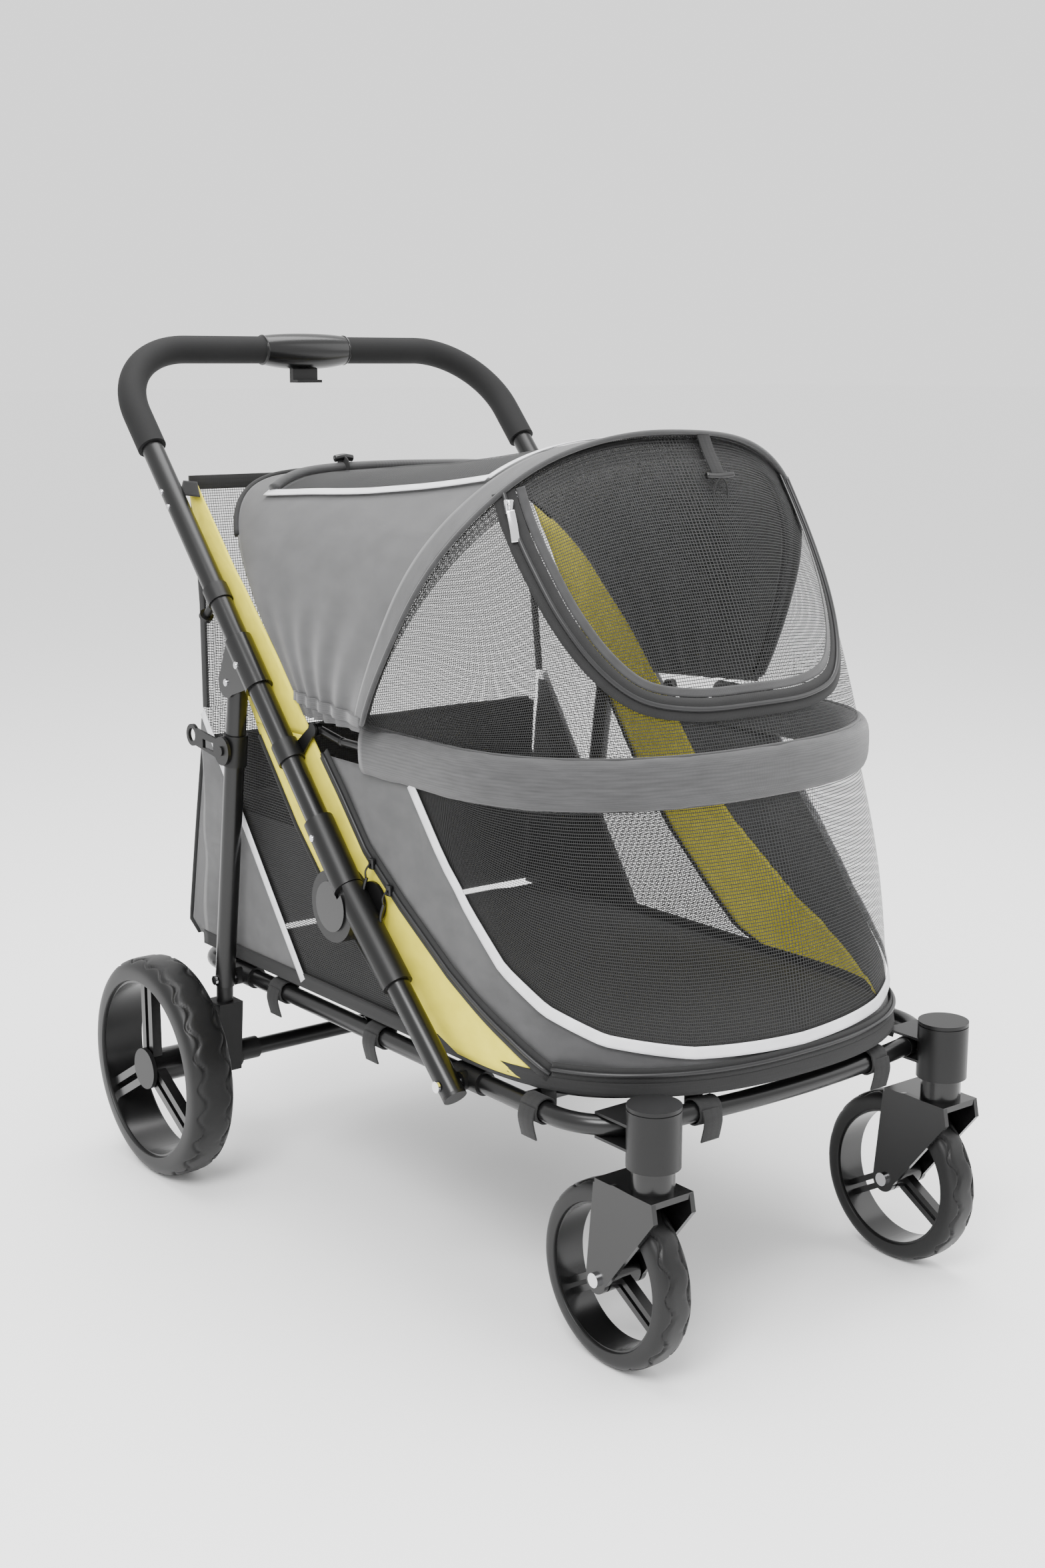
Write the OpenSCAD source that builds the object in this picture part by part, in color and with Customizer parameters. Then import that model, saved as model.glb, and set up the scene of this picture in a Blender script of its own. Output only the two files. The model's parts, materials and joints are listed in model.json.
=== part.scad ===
// Folding pet stroller: two large rear wheels, two swivel castors, a fabric cabin on a
// tubular base and a push handle that folds down on four linked pivots.
// Millimetres. +Z up, front faces -Y, the middle plane is X = 0.

/* [Overall] */
// Height of the push bar's centre line above the floor
handle_height = 1068; // [1000:1:1120]
// Sideways distance from the middle plane to the push tubes
side_x = 298; // [290:1:330]
// Slope of the upper push tubes from the horizontal, degrees
upper_slope = 47.6; // [45:0.1:50]

/* [Base frame] */
// Height of the base tube's centre line
base_z = 273; // [262:1:284]
// Sideways distance from the middle plane to the base tube
base_x = 265; // [240:1:272]
// Radius of the base tube
base_r = 11; // [8:0.5:13]
// Rear end of the base loop
base_rear_y = 468; // [440:1:480]
// Radius of the base loop's rear bends
base_rear_bend = 45; // [30:1:80]
// Radius of the base loop's front bends
base_front_bend = 80; // [60:1:110]
// Number of cross tubes under the floor
cross_tube_count = 3; // [2:1:4]
// Radius of the cross tubes
cross_tube_r = 8; // [5:0.5:9]

/* [Push tubes] */
// Outer radius of the push tubes
push_r = 14; // [12:0.5:15]
// Wall of every tube
tube_wall = 1.5; // [1:0.1:3]
// Bend radius of the handle's corners
handle_bend = 112; // [80:1:150]
// Thickness of the foam on the handle
foam_wall = 4.5; // [2:0.5:7]
// Length of foam down each sloping leg, from the corner of the handle
foam_drop = 168; // [120:1:240]

/* [Fold hinges] */
// Fold hinge centre, from the castor side to the rear
hinge_y = 73.5; // [60:0.5:90]
// Fold hinge centre height
hinge_z = 430; // [420:1:445]
// Distance of the push tube's centre line from the hinge centre
hinge_offset = 33; // [30:0.5:36]
// Radius of the hinge discs
disc_r = 43; // [38:0.5:46]
// Radius of the hinge pins
hinge_pin_r = 6; // [4:0.5:8]
// Position of the lower pivot along the base
lower_pivot_y = -144.5; // [-160:0.5:-130]
// Radius of the pivot bolts on the base
pivot_bolt_r = 4; // [3:0.5:5]

/* [Rear legs] */
// Leg's upper pivot, position from front to rear
leg_top_y = 294.5; // [285:0.5:305]
// Leg's upper pivot height
leg_top_z = 667; // [655:0.5:680]
// Leg's lower pivot, position along the base
leg_pivot_y = 350.4; // [340:0.5:360]
// Outer radius of the rear legs
leg_r = 12.7; // [10:0.1:13]

/* [Rear wheels] */
// Radius of the rear wheels
rear_wheel_r = 145; // [125:1:155]
// Width of the rear wheels
rear_wheel_w = 60; // [45:1:66]
// Position of the rear axle from front to rear
rear_axle_y = 430.4; // [420:0.5:445]
// Radius of the rear axles
axle_r = 6; // [4:0.5:8]

/* [Castors] */
// Radius of the castor wheels
castor_wheel_r = 102.6; // [85:0.1:106]
// Width of the castor wheels
castor_wheel_w = 42; // [32:1:46]
// Distance of the castor axle behind the swivel axis
castor_trail = 57; // [35:1:60]
// Sideways distance of the swivel axes
castor_x = 221.3; // [205:0.1:230]
// Gap between the base tube and the castor housing
castor_gap = 3; // [1:0.5:8]
// Radius of the castor housing
housing_r = 29; // [26:0.5:32]
// Height of the castor housing
housing_h = 67; // [56:1:72]
// Radius of the swivel stem
stem_r = 12; // [8:0.5:16]
// Radius of the castor axle bolts
castor_bolt_r = 4; // [3:0.5:6]

/* [Cabin] */
// Half width of the cabin walls
cabin_half_w = 260; // [245:1:262]
// Thickness of the fabric walls
fabric = 4; // [2:0.5:5]
// Front of the cabin floor
cabin_front_y = -352; // [-358:1:-330]
// Corner radius of the cabin's front
cabin_corner = 130; // [100:1:160]
// Top edge of the cabin's lower walls
tub_top_z = 536; // [480:1:538]
// Height of the front rail
rail_z = 616; // [612:1:630]
// Half width of the front rail
rail_half_w = 270; // [269.5:0.5:271]
// Front of the front rail
rail_front_y = -317; // [-325:1:-300]
// Radius of the front rail rod
rail_r = 5; // [4:0.5:6]
// Height of the padded sleeve on the front rail
sleeve_h = 52.5; // [40:0.5:52.5]
// Thickness of the padded sleeve
sleeve_t = 16; // [12:1:16]
// Half width of the canopy's front arch
arch_half_w = 276; // [262:1:278]
// Top of the canopy's front arch
arch_top_z = 972; // [930:1:985]
// Top of the canopy at the rear
rear_top_z = 905; // [880:1:930]

/* [Fits] */
// Radial clearance of pins and axles in their holes
running = 0.05; // [0.02:0.01:0.1]
// Gap left between parts that move past each other
gap = 0.6; // [0.4:0.1:1]

/* [Hidden] */
$fn = 48;

// The front of the stroller faces -Y, so its own left side is at +X.
left = 1;
right = -1;

function hundredth(v) = round(100 * v) / 100;

// Side view points are written as [y, z].
hinge = [hinge_y, hinge_z];
lower_pivot = [lower_pivot_y, base_z];
leg_top = [leg_top_y, leg_top_z];
leg_pivot = [leg_pivot_y, base_z];
up_dir = [cos(upper_slope), sin(upper_slope)];
up_normal = [-sin(upper_slope), cos(upper_slope)];
up_foot = hinge + hinge_offset * up_normal;
lower_span = norm(hinge - lower_pivot);
lower_slope = atan2(hinge_z - base_z, hinge_y - lower_pivot_y) + asin(hinge_offset / lower_span);
low_dir = [cos(lower_slope), sin(lower_slope)];
low_normal = [-sin(lower_slope), cos(lower_slope)];
low_foot = hinge + hinge_offset * low_normal;
handle_run = hundredth((handle_height - up_foot.y) / sin(upper_slope));
handle_bar = up_foot + handle_run * up_dir;
leg_dir = (leg_pivot - leg_top) / norm(leg_pivot - leg_top);

// Fold hinge: sockets on the tubes, the outer disc on the upper half, the inner on the lower.
socket_r = push_r + 4;
tube_start = hundredth(sqrt(pow(disc_r + gap, 2) - pow(hinge_offset - push_r, 2)) + 2);
upper_socket_len = 97;
lower_socket_len = 135;
disc_split_x = side_x + 1;
disc_outer_x = side_x + 10;
disc_inner_x = side_x - 19;
cover_r = 30;

// Collar that hangs the leg from the upper tube.
collar_at = (leg_top - up_foot) * up_dir;
collar_half = 36;
collar_r = push_r + 3.5;
cheek_gap = leg_r + gap;
cheek_t = 3.6;
leg_end_r = 19;

// Leg foot: the tube ends under the lower pivot and a neck enters the axle housing.
leg_end_z = base_z - 8;
housing_top_z = base_z - 30;
axle_z = rear_wheel_r;
cross_tube_z = axle_z + 21;
function on_leg(z) = leg_top + leg_dir * (z - leg_top.y) / leg_dir.y;
foot_half = 17;
rear_wheel_x = side_x + foot_half + 5 + rear_wheel_w / 2;

// Base loop: straight sides, tight rear bends, front bends that run into a shallow bow.
front_turn = 80;
bow_turn = 90 - front_turn;
bend_x = base_x - base_front_bend;
bow_r = (bend_x + base_front_bend * cos(front_turn)) / sin(bow_turn);
castor_pivot_y = -399.4;
castor_bend_angle = acos((castor_x - bend_x) / base_front_bend);
base_bend_y = hundredth(castor_pivot_y + housing_r + castor_gap + base_r
    + base_front_bend * sin(castor_bend_angle));
housing_top = base_z + 35.6;
housing_low = housing_top - housing_h;
castor_axle_y = castor_pivot_y + castor_trail;

// Front rail: straight sides, round corners, shallow bow.
rail_corner = 150;
rail_turn = 74;
rail_bow_turn = 90 - rail_turn;
rail_cx = rail_half_w - rail_corner;
rail_bow_r = (rail_cx + rail_corner * cos(rail_turn)) / sin(rail_bow_turn);
rail_cy = hundredth(rail_front_y + rail_corner * sin(rail_turn)
    + rail_bow_r * (1 - cos(rail_bow_turn)));
sleeve_start_y = 45;

// Cabin floor and walls.
cross_z = base_z + 6;
floor_z = cross_z + cross_tube_r + 1;
board_t = 4;
mat_t = 16;
cabin_rear_y = base_rear_y - 34;
wall_low_z = floor_z + board_t;
hood_low_z = 643;
arch_base_y = -18;
arch_lean = 30.5;
arch_len = (arch_top_z - hood_low_z) / cos(arch_lean);
arch_corner = 150;
rear_half_w = cabin_half_w - 10;
rear_corner = 120;

// Everything is drawn about the castor pivots and then centred front to back.
front_extent = castor_axle_y - castor_wheel_r;
rear_extent = handle_bar.x + push_r + foam_wall;
mid_y = (front_extent + rear_extent) / 2;

black = [0.05, 0.05, 0.055];
satin = [0.09, 0.09, 0.1];
charcoal = [0.36, 0.36, 0.37];
mesh_grey = [0.18, 0.18, 0.19];
chrome = [0.75, 0.75, 0.77];

// ---------- helpers ----------

module placed() {
    translate([0, -mid_y, 0])
        children();
}

module both_sides() {
    children();
    mirror([1, 0, 0])
        children();
}

module on_side(side) {
    if (side == left)
        children();
    else
        mirror([1, 0, 0])
            children();
}

// A rod along X, centred on the side-view point p, from x0 to x1.
module cross_rod(p, x0, x1, r) {
    translate([x0, p.x, p.y])
        rotate([0, 90, 0])
            cylinder(h = x1 - x0, r = r);
}

// A rod in a plane parallel to the side view, from point a to point b.
module side_rod(x, a, b, r) {
    run = b - a;
    translate([x, a.x, a.y])
        rotate([-atan2(run.x, run.y), 0, 0])
            cylinder(h = norm(run), r = r);
}

// A flat plate whose outline is drawn in the side view, from x0 to x1.
module side_plate(x0, x1) {
    translate([x0, 0, 0])
        rotate([90, 0, 90])
            linear_extrude(x1 - x0)
                children();
}

module side_tube(x, a, b, r) {
    run = (b - a) / norm(b - a);
    difference() {
        side_rod(x, a, b, r);
        side_rod(x, a - run, b + run, r - tube_wall);
    }
}

// ---------- base ----------

// A round tube along the base loop, with a short ferrule where each front bend meets the bow.
module along_base(r, ferrule) {
    seam_x = bend_x + base_front_bend * cos(front_turn);
    seam_y = base_bend_y - base_front_bend * sin(front_turn);
    both_sides() {
        translate([base_x, base_rear_y - base_rear_bend, base_z])
            rotate([90, 0, 0])
                cylinder(h = base_rear_y - base_rear_bend - base_bend_y, r = r);
        translate([base_x - base_rear_bend, base_rear_y - base_rear_bend, base_z])
            rotate_extrude(angle = 90)
                translate([base_rear_bend, 0])
                    circle(r);
        translate([bend_x, base_bend_y, base_z])
            rotate([0, 0, -front_turn])
                rotate_extrude(angle = front_turn)
                    translate([base_front_bend, 0])
                        circle(r);
        translate([seam_x, seam_y, base_z])
            rotate([90, 0, -front_turn])
                translate([0, 0, -5])
                    cylinder(h = 10, r = ferrule);
    }
    translate([-base_x + base_rear_bend, base_rear_y, base_z])
        rotate([0, 90, 0])
            cylinder(h = 2 * (base_x - base_rear_bend), r = r);
    translate([0, seam_y + bow_r * cos(bow_turn), base_z])
        rotate([0, 0, -90 - bow_turn])
            rotate_extrude(angle = 2 * bow_turn, $fn = 360)
                translate([bow_r, 0])
                    circle(r, $fn = 48);
}

module base_frame_tube() {
    color(black)
        placed()
            difference() {
                along_base(base_r, base_r + 0.6);
                along_base(base_r - tube_wall, base_r - tube_wall + 0.5);
            }
}

module floor_cross_tubes() {
    first_y = base_bend_y + 40;
    last_y = base_rear_y - base_rear_bend - 31;
    color(black)
        placed()
            for (i = [0 : cross_tube_count - 1]) {
                y = first_y + i * (last_y - first_y) / (cross_tube_count - 1);
                difference() {
                    cross_rod([y, cross_z], -base_x, base_x, cross_tube_r);
                    cross_rod([y, cross_z], -base_x - 1, base_x + 1, cross_tube_r - tube_wall);
                    both_sides()
                        side_rod(base_x, [y - 30, base_z], [y + 30, base_z], base_r + 0.02);
                    both_sides()
                        translate([base_x, y - 30, base_z])
                            cube([60, 60, 60]);
                }
            }
}

module base_pivot_saddle(y, reach) {
    difference() {
        union() {
            side_rod(base_x, [y - 24, base_z], [y + 24, base_z], base_r + 3);
            cross_rod([y, base_z], base_x, reach, 11);
        }
        side_rod(base_x, [y - 25, base_z], [y + 25, base_z], base_r);
        cross_rod([y, base_z], base_x, reach + 1, pivot_bolt_r);
    }
}

module pivot_saddles() {
    color(satin)
        placed()
            both_sides() {
                base_pivot_saddle(lower_pivot_y, side_x - push_r - gap);
                base_pivot_saddle(leg_pivot_y, side_x - leg_r - gap);
            }
}

module base_bolts() {
    color(chrome)
        placed()
            both_sides() {
                cross_rod(lower_pivot, base_x + base_r, side_x + push_r + 2, pivot_bolt_r);
                cross_rod(lower_pivot, side_x + push_r + gap, side_x + push_r + 3.6, 6.5);
                cross_rod(leg_pivot, base_x + base_r, side_x + leg_r + 2, pivot_bolt_r);
                cross_rod(leg_pivot, side_x + leg_r + gap, side_x + leg_r + 3.6, 6);
            }
}

// Channel bracket: an upper and a lower flange that clamp the base tube to the housing.
module castor_brackets() {
    top_z = base_z + base_r + 0.65;
    low_z = base_z - base_r - 0.65;
    color(satin)
        placed()
            both_sides()
                difference() {
                    union() {
                        translate([castor_x - 26, castor_pivot_y, top_z])
                            cube([52, 64, 3]);
                        translate([castor_x - 26, castor_pivot_y, low_z - 3])
                            cube([52, 64, 3]);
                    }
                    translate([castor_x, castor_pivot_y, 0])
                        cylinder(h = 400, r = housing_r);
                }
}

module castor_housing(side) {
    color(satin)
        placed()
            on_side(side)
                translate([castor_x, castor_pivot_y, 0])
                    difference() {
                        translate([0, 0, housing_low])
                            cylinder(h = housing_h, r = housing_r);
                        translate([0, 0, housing_low - 1])
                            cylinder(h = housing_h - 11, r = stem_r + running);
                        translate([0, 0, housing_top - 5])
                            difference() {
                                cylinder(h = 1.2, r = housing_r + 1);
                                cylinder(h = 1.2, r = housing_r - 1);
                            }
                    }
}

module left_castor_housing() {
    castor_housing(left);
}

module right_castor_housing() {
    castor_housing(right);
}

// ---------- cabin floor and lower walls ----------

// Plan of the cabin: square at the rear, round corners at the front.
module cabin_plan(inset) {
    w = cabin_half_w - inset;
    f = cabin_front_y + inset;
    c = cabin_corner - inset;
    translate([-w, f + c])
        square([2 * w, cabin_rear_y - inset - f - c]);
    translate([-w + c, f])
        square([2 * (w - c), c + 1]);
    for (s = [-1, 1])
        translate([s * (w - c), f + c])
            circle(c);
}

module floor_board() {
    color(black)
        placed()
            translate([0, 0, floor_z])
                linear_extrude(board_t)
                    cabin_plan(fabric + 1);
}

module floor_mat() {
    color(mesh_grey)
        placed()
            translate([0, 0, floor_z + board_t + 0.4])
                linear_extrude(mat_t)
                    cabin_plan(fabric + 8);
}

module side_panels() {
    color(mesh_grey)
        placed()
            both_sides()
                translate([cabin_half_w - fabric, cabin_front_y + cabin_corner + 0.5, wall_low_z])
                    cube([fabric, cabin_rear_y - fabric - 1 - cabin_front_y - cabin_corner,
                        tub_top_z - wall_low_z]);
}

module rear_panel() {
    color(charcoal)
        placed() {
            translate([-cabin_half_w, cabin_rear_y - fabric, wall_low_z])
                cube([2 * cabin_half_w, fabric, tub_top_z - wall_low_z]);
            translate([-cabin_half_w + 20, cabin_rear_y - 1, wall_low_z + 10])
                cube([2 * cabin_half_w - 40, 9, 0.8 * (tub_top_z - wall_low_z)]);
        }
}

module front_panel() {
    color(charcoal)
        placed()
            translate([0, 0, wall_low_z])
                linear_extrude(tub_top_z - wall_low_z)
                    intersection() {
                        difference() {
                            cabin_plan(0);
                            cabin_plan(fabric);
                        }
                        translate([-500, cabin_front_y - 1])
                            square([1000, cabin_corner + 1]);
                    }
}

// A strap wraps the base tube and reaches up to the floor board.
module strap_on_side(y) {
    difference() {
        union() {
            side_rod(base_x, [y - 14, base_z], [y + 14, base_z], base_r + 1.6);
            translate([base_x - base_r - 1.6, y - 14, base_z])
                cube([2, 28, floor_z - base_z]);
        }
        side_rod(base_x, [y - 15, base_z], [y + 15, base_z], base_r + 0.1);
    }
}

module strap_on_front(x) {
    rise = bow_r * (1 - cos(asin(x / bow_r)));
    y = base_bend_y - base_front_bend * sin(front_turn) - bow_r * (1 - cos(bow_turn)) + rise;
    difference() {
        union() {
            cross_rod([y, base_z], x - 14, x + 14, base_r + 3.6);
            translate([x - 14, y + base_r + 1.2, base_z])
                cube([28, 2.4, floor_z - base_z]);
        }
        cross_rod([y, base_z], x - 15, x + 15, base_r + 2.4);
    }
}

module hook_loop_straps() {
    color(black)
        placed()
            both_sides() {
                strap_on_side(25);
                strap_on_side(base_bend_y + 14);
                strap_on_side(260);
                strap_on_front(130);
            }
}

// ---------- lower push tubes ----------

module lower_tube(side) {
    end = lower_pivot - 14 * low_dir;
    color(black)
        placed()
            on_side(side)
                difference() {
                    side_tube(side_x, end, low_foot - tube_start * low_dir, push_r);
                    cross_rod(lower_pivot, side_x - 30, side_x + 30, pivot_bolt_r + running);
                }
}

module left_lower_tube() {
    lower_tube(left);
}

module right_lower_tube() {
    lower_tube(right);
}

// Moulded end plug, cut off flat, with the same pivot hole.
module lower_tube_plugs() {
    end = lower_pivot - 14 * low_dir;
    color(satin)
        placed()
            both_sides()
                difference() {
                    union() {
                        side_rod(side_x, end - 4 * low_dir, end - 0.05 * low_dir, push_r);
                        side_rod(side_x, end - 1 * low_dir, end + 20 * low_dir,
                            push_r - tube_wall - 0.1);
                    }
                    cross_rod(lower_pivot, side_x - 30, side_x + 30, pivot_bolt_r + running);
                }
}

module lower_sockets() {
    color(satin)
        placed()
            both_sides() {
                difference() {
                    union() {
                        side_rod(side_x, low_foot - lower_socket_len * low_dir,
                            low_foot - gap * low_dir, socket_r);
                        cross_rod(hinge, disc_inner_x, disc_split_x - 0.3, disc_r);
                        cross_rod(low_foot + 8 * low_normal - 27 * low_dir, disc_inner_x,
                            disc_inner_x + 4, 24);
                    }
                    cross_rod(hinge, disc_split_x - 0.3, disc_outer_x + 30, disc_r + gap);
                    side_rod(side_x, low_foot - (lower_socket_len + 1) * low_dir,
                        low_foot - tube_start * low_dir, push_r);
                }
                cross_rod(hinge, disc_split_x - 3, disc_outer_x - 0.5, hinge_pin_r);
            }
}

// ---------- push handle ----------

// The handle is drawn flat, its legs along +Y, and then tipped to the slope of the tubes.
module on_upper_tubes() {
    translate([0, up_foot.x, up_foot.y])
        rotate([upper_slope, 0, 0])
            children();
}

handle_straight = handle_run - handle_bend;

module handle_u(r, from) {
    both_sides() {
        translate([side_x, from, 0])
            rotate([-90, 0, 0])
                cylinder(h = handle_straight - from, r = r);
        translate([side_x - handle_bend, handle_straight, 0])
            rotate_extrude(angle = 90)
                translate([handle_bend, 0])
                    circle(r);
    }
    translate([-side_x + handle_bend, handle_run, 0])
        rotate([0, 90, 0])
            cylinder(h = 2 * (side_x - handle_bend), r = r);
}

module push_handle_tube() {
    color(black)
        placed()
            on_upper_tubes()
                difference() {
                    handle_u(push_r, tube_start);
                    handle_u(push_r - tube_wall, tube_start - 1);
                }
}

grip_half_gap = 66;

module foam_grips() {
    color(satin)
        placed()
            on_upper_tubes()
                difference() {
                    handle_u(push_r + foam_wall, handle_run - foam_drop);
                    handle_u(push_r, handle_run - foam_drop - 1);
                    translate([-grip_half_gap, handle_run - 40, -40])
                        cube([2 * grip_half_gap, 80, 80]);
                }
}

belly_r = push_r + 10;

// The handle's centre housing is two shells around the bar, fuller in the middle.
module housing_shell() {
    difference() {
        union() {
            cross_rod(handle_bar, -grip_half_gap + 0.5, grip_half_gap - 0.5, push_r + 6);
            cross_rod(handle_bar, -36, 36, belly_r);
        }
        cross_rod(handle_bar, -grip_half_gap, grip_half_gap, push_r);
    }
}

module handle_housing_top() {
    color(black)
        placed()
            intersection() {
                housing_shell();
                translate([-100, handle_bar.x - 50, handle_bar.y + 0.15])
                    cube([200, 100, 50]);
            }
}

lever_w = 40;
lever_t = 9;

module handle_housing_bottom() {
    color(black)
        placed()
            difference() {
                intersection() {
                    housing_shell();
                    translate([-100, handle_bar.x - 50, handle_bar.y - 50.15])
                        cube([200, 100, 50]);
                }
                translate([-lever_w / 2 - gap, handle_bar.x - lever_t / 2 - gap,
                        handle_bar.y - 40])
                    cube([lever_w + 2 * gap, lever_t + 2 * gap, 30]);
            }
}

module release_lever() {
    top_z = handle_bar.y - push_r - 8.5;
    color(satin)
        placed() {
            translate([-lever_w / 2, handle_bar.x - lever_t / 2, top_z - 20])
                cube([lever_w, lever_t, 20]);
            translate([-lever_w / 2, handle_bar.x - lever_t / 2 - 12, top_z - 22])
                cube([lever_w, lever_t + 12, 4]);
        }
}

module upper_socket(side) {
    color(satin)
        placed()
            on_side(side)
                difference() {
                    union() {
                        difference() {
                            side_rod(side_x, up_foot + gap * up_dir,
                                up_foot + upper_socket_len * up_dir, socket_r);
                            side_rod(side_x, low_foot - 60 * low_dir, low_foot + gap * low_dir,
                                socket_r + 14);
                        }
                        cross_rod(hinge, disc_split_x + 0.3, disc_outer_x, disc_r);
                    }
                    cross_rod(hinge, disc_inner_x - 30, disc_split_x + 0.3, disc_r + gap);
                    cross_rod(hinge, 0, 400, hinge_pin_r + running);
                    side_rod(side_x, up_foot + tube_start * up_dir,
                        up_foot + (upper_socket_len + 1) * up_dir, push_r);
                }
}

module left_upper_socket() {
    upper_socket(left);
}

module right_upper_socket() {
    upper_socket(right);
}

module hinge_covers() {
    color(black)
        placed()
            both_sides()
                difference() {
                    cross_rod(hinge, disc_outer_x, disc_outer_x + 2.5, cover_r);
                    side_rod(side_x, up_foot - 2 * up_dir, up_foot + 80 * up_dir, socket_r + 0.05);
                }
}

// Moulded collar: a sleeve on the upper tube with two cheeks that take the leg's top.
module collar_outline() {
    a = up_foot + (collar_at - collar_half) * up_dir;
    b = up_foot + (collar_at + collar_half) * up_dir;
    polygon([a, b, leg_top + leg_end_r * up_dir, leg_top - leg_end_r * up_dir]);
    translate(leg_top)
        circle(leg_end_r);
}

module collars() {
    a = up_foot + (collar_at - collar_half) * up_dir;
    b = up_foot + (collar_at + collar_half) * up_dir;
    color(satin)
        placed()
            both_sides()
                difference() {
                    union() {
                        side_rod(side_x, a, b, collar_r);
                        for (s = [-1, 1])
                            side_plate(side_x + s * (cheek_gap + cheek_t / 2) - cheek_t / 2,
                                side_x + s * (cheek_gap + cheek_t / 2) + cheek_t / 2)
                                collar_outline();
                    }
                    side_rod(side_x, a - up_dir, b + up_dir, push_r);
                }
}

module latch_peg() {
    root = up_foot + (collar_at + 105) * up_dir;
    reach = root - 40 * up_normal;
    color(black)
        placed()
            on_side(right)
                difference() {
                    union() {
                        side_rod(side_x, root, reach, 5);
                        side_rod(side_x, reach, reach - 5 * up_normal, 9);
                        side_rod(side_x, root - 11 * up_dir, root + 11 * up_dir, push_r + 2);
                    }
                    side_rod(side_x, root - 12 * up_dir, root + 12 * up_dir, push_r);
                }
}

// A domed rivet head on a flat face, and one whose underside fits round a tube or socket.
module rivet(p, face_x, sink, r) {
    cross_rod(p, face_x - sink, face_x + 1.4, r);
    cross_rod(p, face_x + 1.4, face_x + 2.2, r * 0.7);
}

module tube_rivet(along, round_r, r) {
    p = up_foot + along * up_dir;
    difference() {
        rivet(p, side_x + round_r, 0.6, r);
        side_rod(side_x, p - 12 * up_dir, p + 12 * up_dir, round_r + 0.02);
    }
}

module frame_rivets() {
    color(chrome)
        placed()
            both_sides() {
                tube_rivet(handle_run - foam_drop - 72, push_r, 3.6);
                tube_rivet(handle_run - foam_drop - 96, push_r, 3.6);
                tube_rivet(collar_at, collar_r, 4.5);
                tube_rivet(75, socket_r, 4);
                rivet(leg_top, side_x + cheek_gap + cheek_t, 0, 4.5);
            }
}

// Lug on the inner face of the push tube that carries the front rail's end.
rail_end = [146, rail_z + 10];
bracket_at = (rail_end - up_foot) * up_dir;

module rail_brackets() {
    p = up_foot + bracket_at * up_dir;
    color(satin)
        placed()
            both_sides()
                difference() {
                    union() {
                        side_rod(side_x, p - 13 * up_dir, p + 13 * up_dir, push_r + 2.5);
                        side_plate(side_x - push_r - 1.8, side_x - push_r + 1.2)
                            polygon([p - 10 * up_dir, p + 10 * up_dir,
                                rail_end + 6 * up_dir, rail_end - 6 * up_dir]);
                        cross_rod(rail_end, side_x - push_r - 1.8, side_x - push_r + 1.2, 8);
                    }
                    side_rod(side_x, p - 14 * up_dir, p + 14 * up_dir, push_r);
                }
}

// ---------- rear legs ----------

module rear_leg(side) {
    color(black)
        placed()
            on_side(side)
                difference() {
                    side_tube(side_x, leg_top, on_leg(leg_end_z), leg_r);
                    cross_rod(leg_pivot, side_x - 30, side_x + 30, pivot_bolt_r + running);
                }
}

module left_rear_leg() {
    rear_leg(left);
}

module right_rear_leg() {
    rear_leg(right);
}

// Neck, block and rearward arm down to the axle boss.
module axle_housing(side) {
    foot = on_leg(cross_tube_z);
    shoulder = on_leg(housing_top_z);
    color(satin)
        placed()
            on_side(side)
                difference() {
                    union() {
                        side_rod(side_x, on_leg(leg_end_z - 0.3), shoulder + [0, -30], leg_r - 2);
                        side_plate(side_x - foot_half, side_x + foot_half)
                            polygon([shoulder + [-19, 0], shoulder + [19, 0],
                                foot + [26, 20], [rear_axle_y, axle_z + 24],
                                [rear_axle_y, axle_z - 24], foot + [-21, -17]]);
                        cross_rod([rear_axle_y, axle_z], side_x - foot_half + 1,
                            side_x + foot_half + 2, 26);
                        cross_rod(brake_pivot, side_x - foot_half - 22, side_x, 3);
                    }
                    cross_rod([rear_axle_y, axle_z], 0, 500, axle_r);
                }
}

module left_axle_housing() {
    axle_housing(left);
}

module right_axle_housing() {
    axle_housing(right);
}

module rear_cross_tube() {
    end_x = side_x - foot_half - 0.2;
    p = on_leg(cross_tube_z);
    color(black)
        placed()
            difference() {
                cross_rod(p, -end_x, end_x, base_r);
                cross_rod(p, -end_x - 1, end_x + 1, base_r - tube_wall);
            }
}

module cross_tube_tees() {
    p = on_leg(cross_tube_z);
    end_x = side_x - foot_half - 0.2;
    color(satin)
        placed()
            both_sides()
                difference() {
                    union() {
                        cross_rod(p, end_x - 34, end_x, base_r + 3.5);
                        cross_rod(p, end_x - 5, end_x, base_r + 9);
                    }
                    cross_rod(p, end_x - 40, end_x + 1, base_r);
                }
}

module rear_axles() {
    color(chrome)
        placed()
            both_sides() {
                cross_rod([rear_axle_y, axle_z], side_x - foot_half - 3,
                    rear_wheel_x + rear_wheel_w / 2 - 8, axle_r);
                cross_rod([rear_axle_y, axle_z], side_x - foot_half - 7,
                    side_x - foot_half - 0.2, axle_r + 4);
            }
}

latch_at = on_leg(leg_top_z - 87);

module latch_clamp() {
    color(satin)
        placed()
            on_side(right)
                difference() {
                    side_rod(side_x, latch_at + 20 * leg_dir, latch_at - 20 * leg_dir,
                        leg_r + 2.6);
                    side_rod(side_x, latch_at + 21 * leg_dir, latch_at - 21 * leg_dir, leg_r);
                }
    color(chrome)
        placed()
            on_side(right) {
                cross_rod(latch_at, side_x + leg_r + 1, side_x + leg_r + 8.6, 3);
                cross_rod(latch_at, side_x + leg_r + 7.8, side_x + leg_r + 9.6, 6);
            }
}

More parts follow.
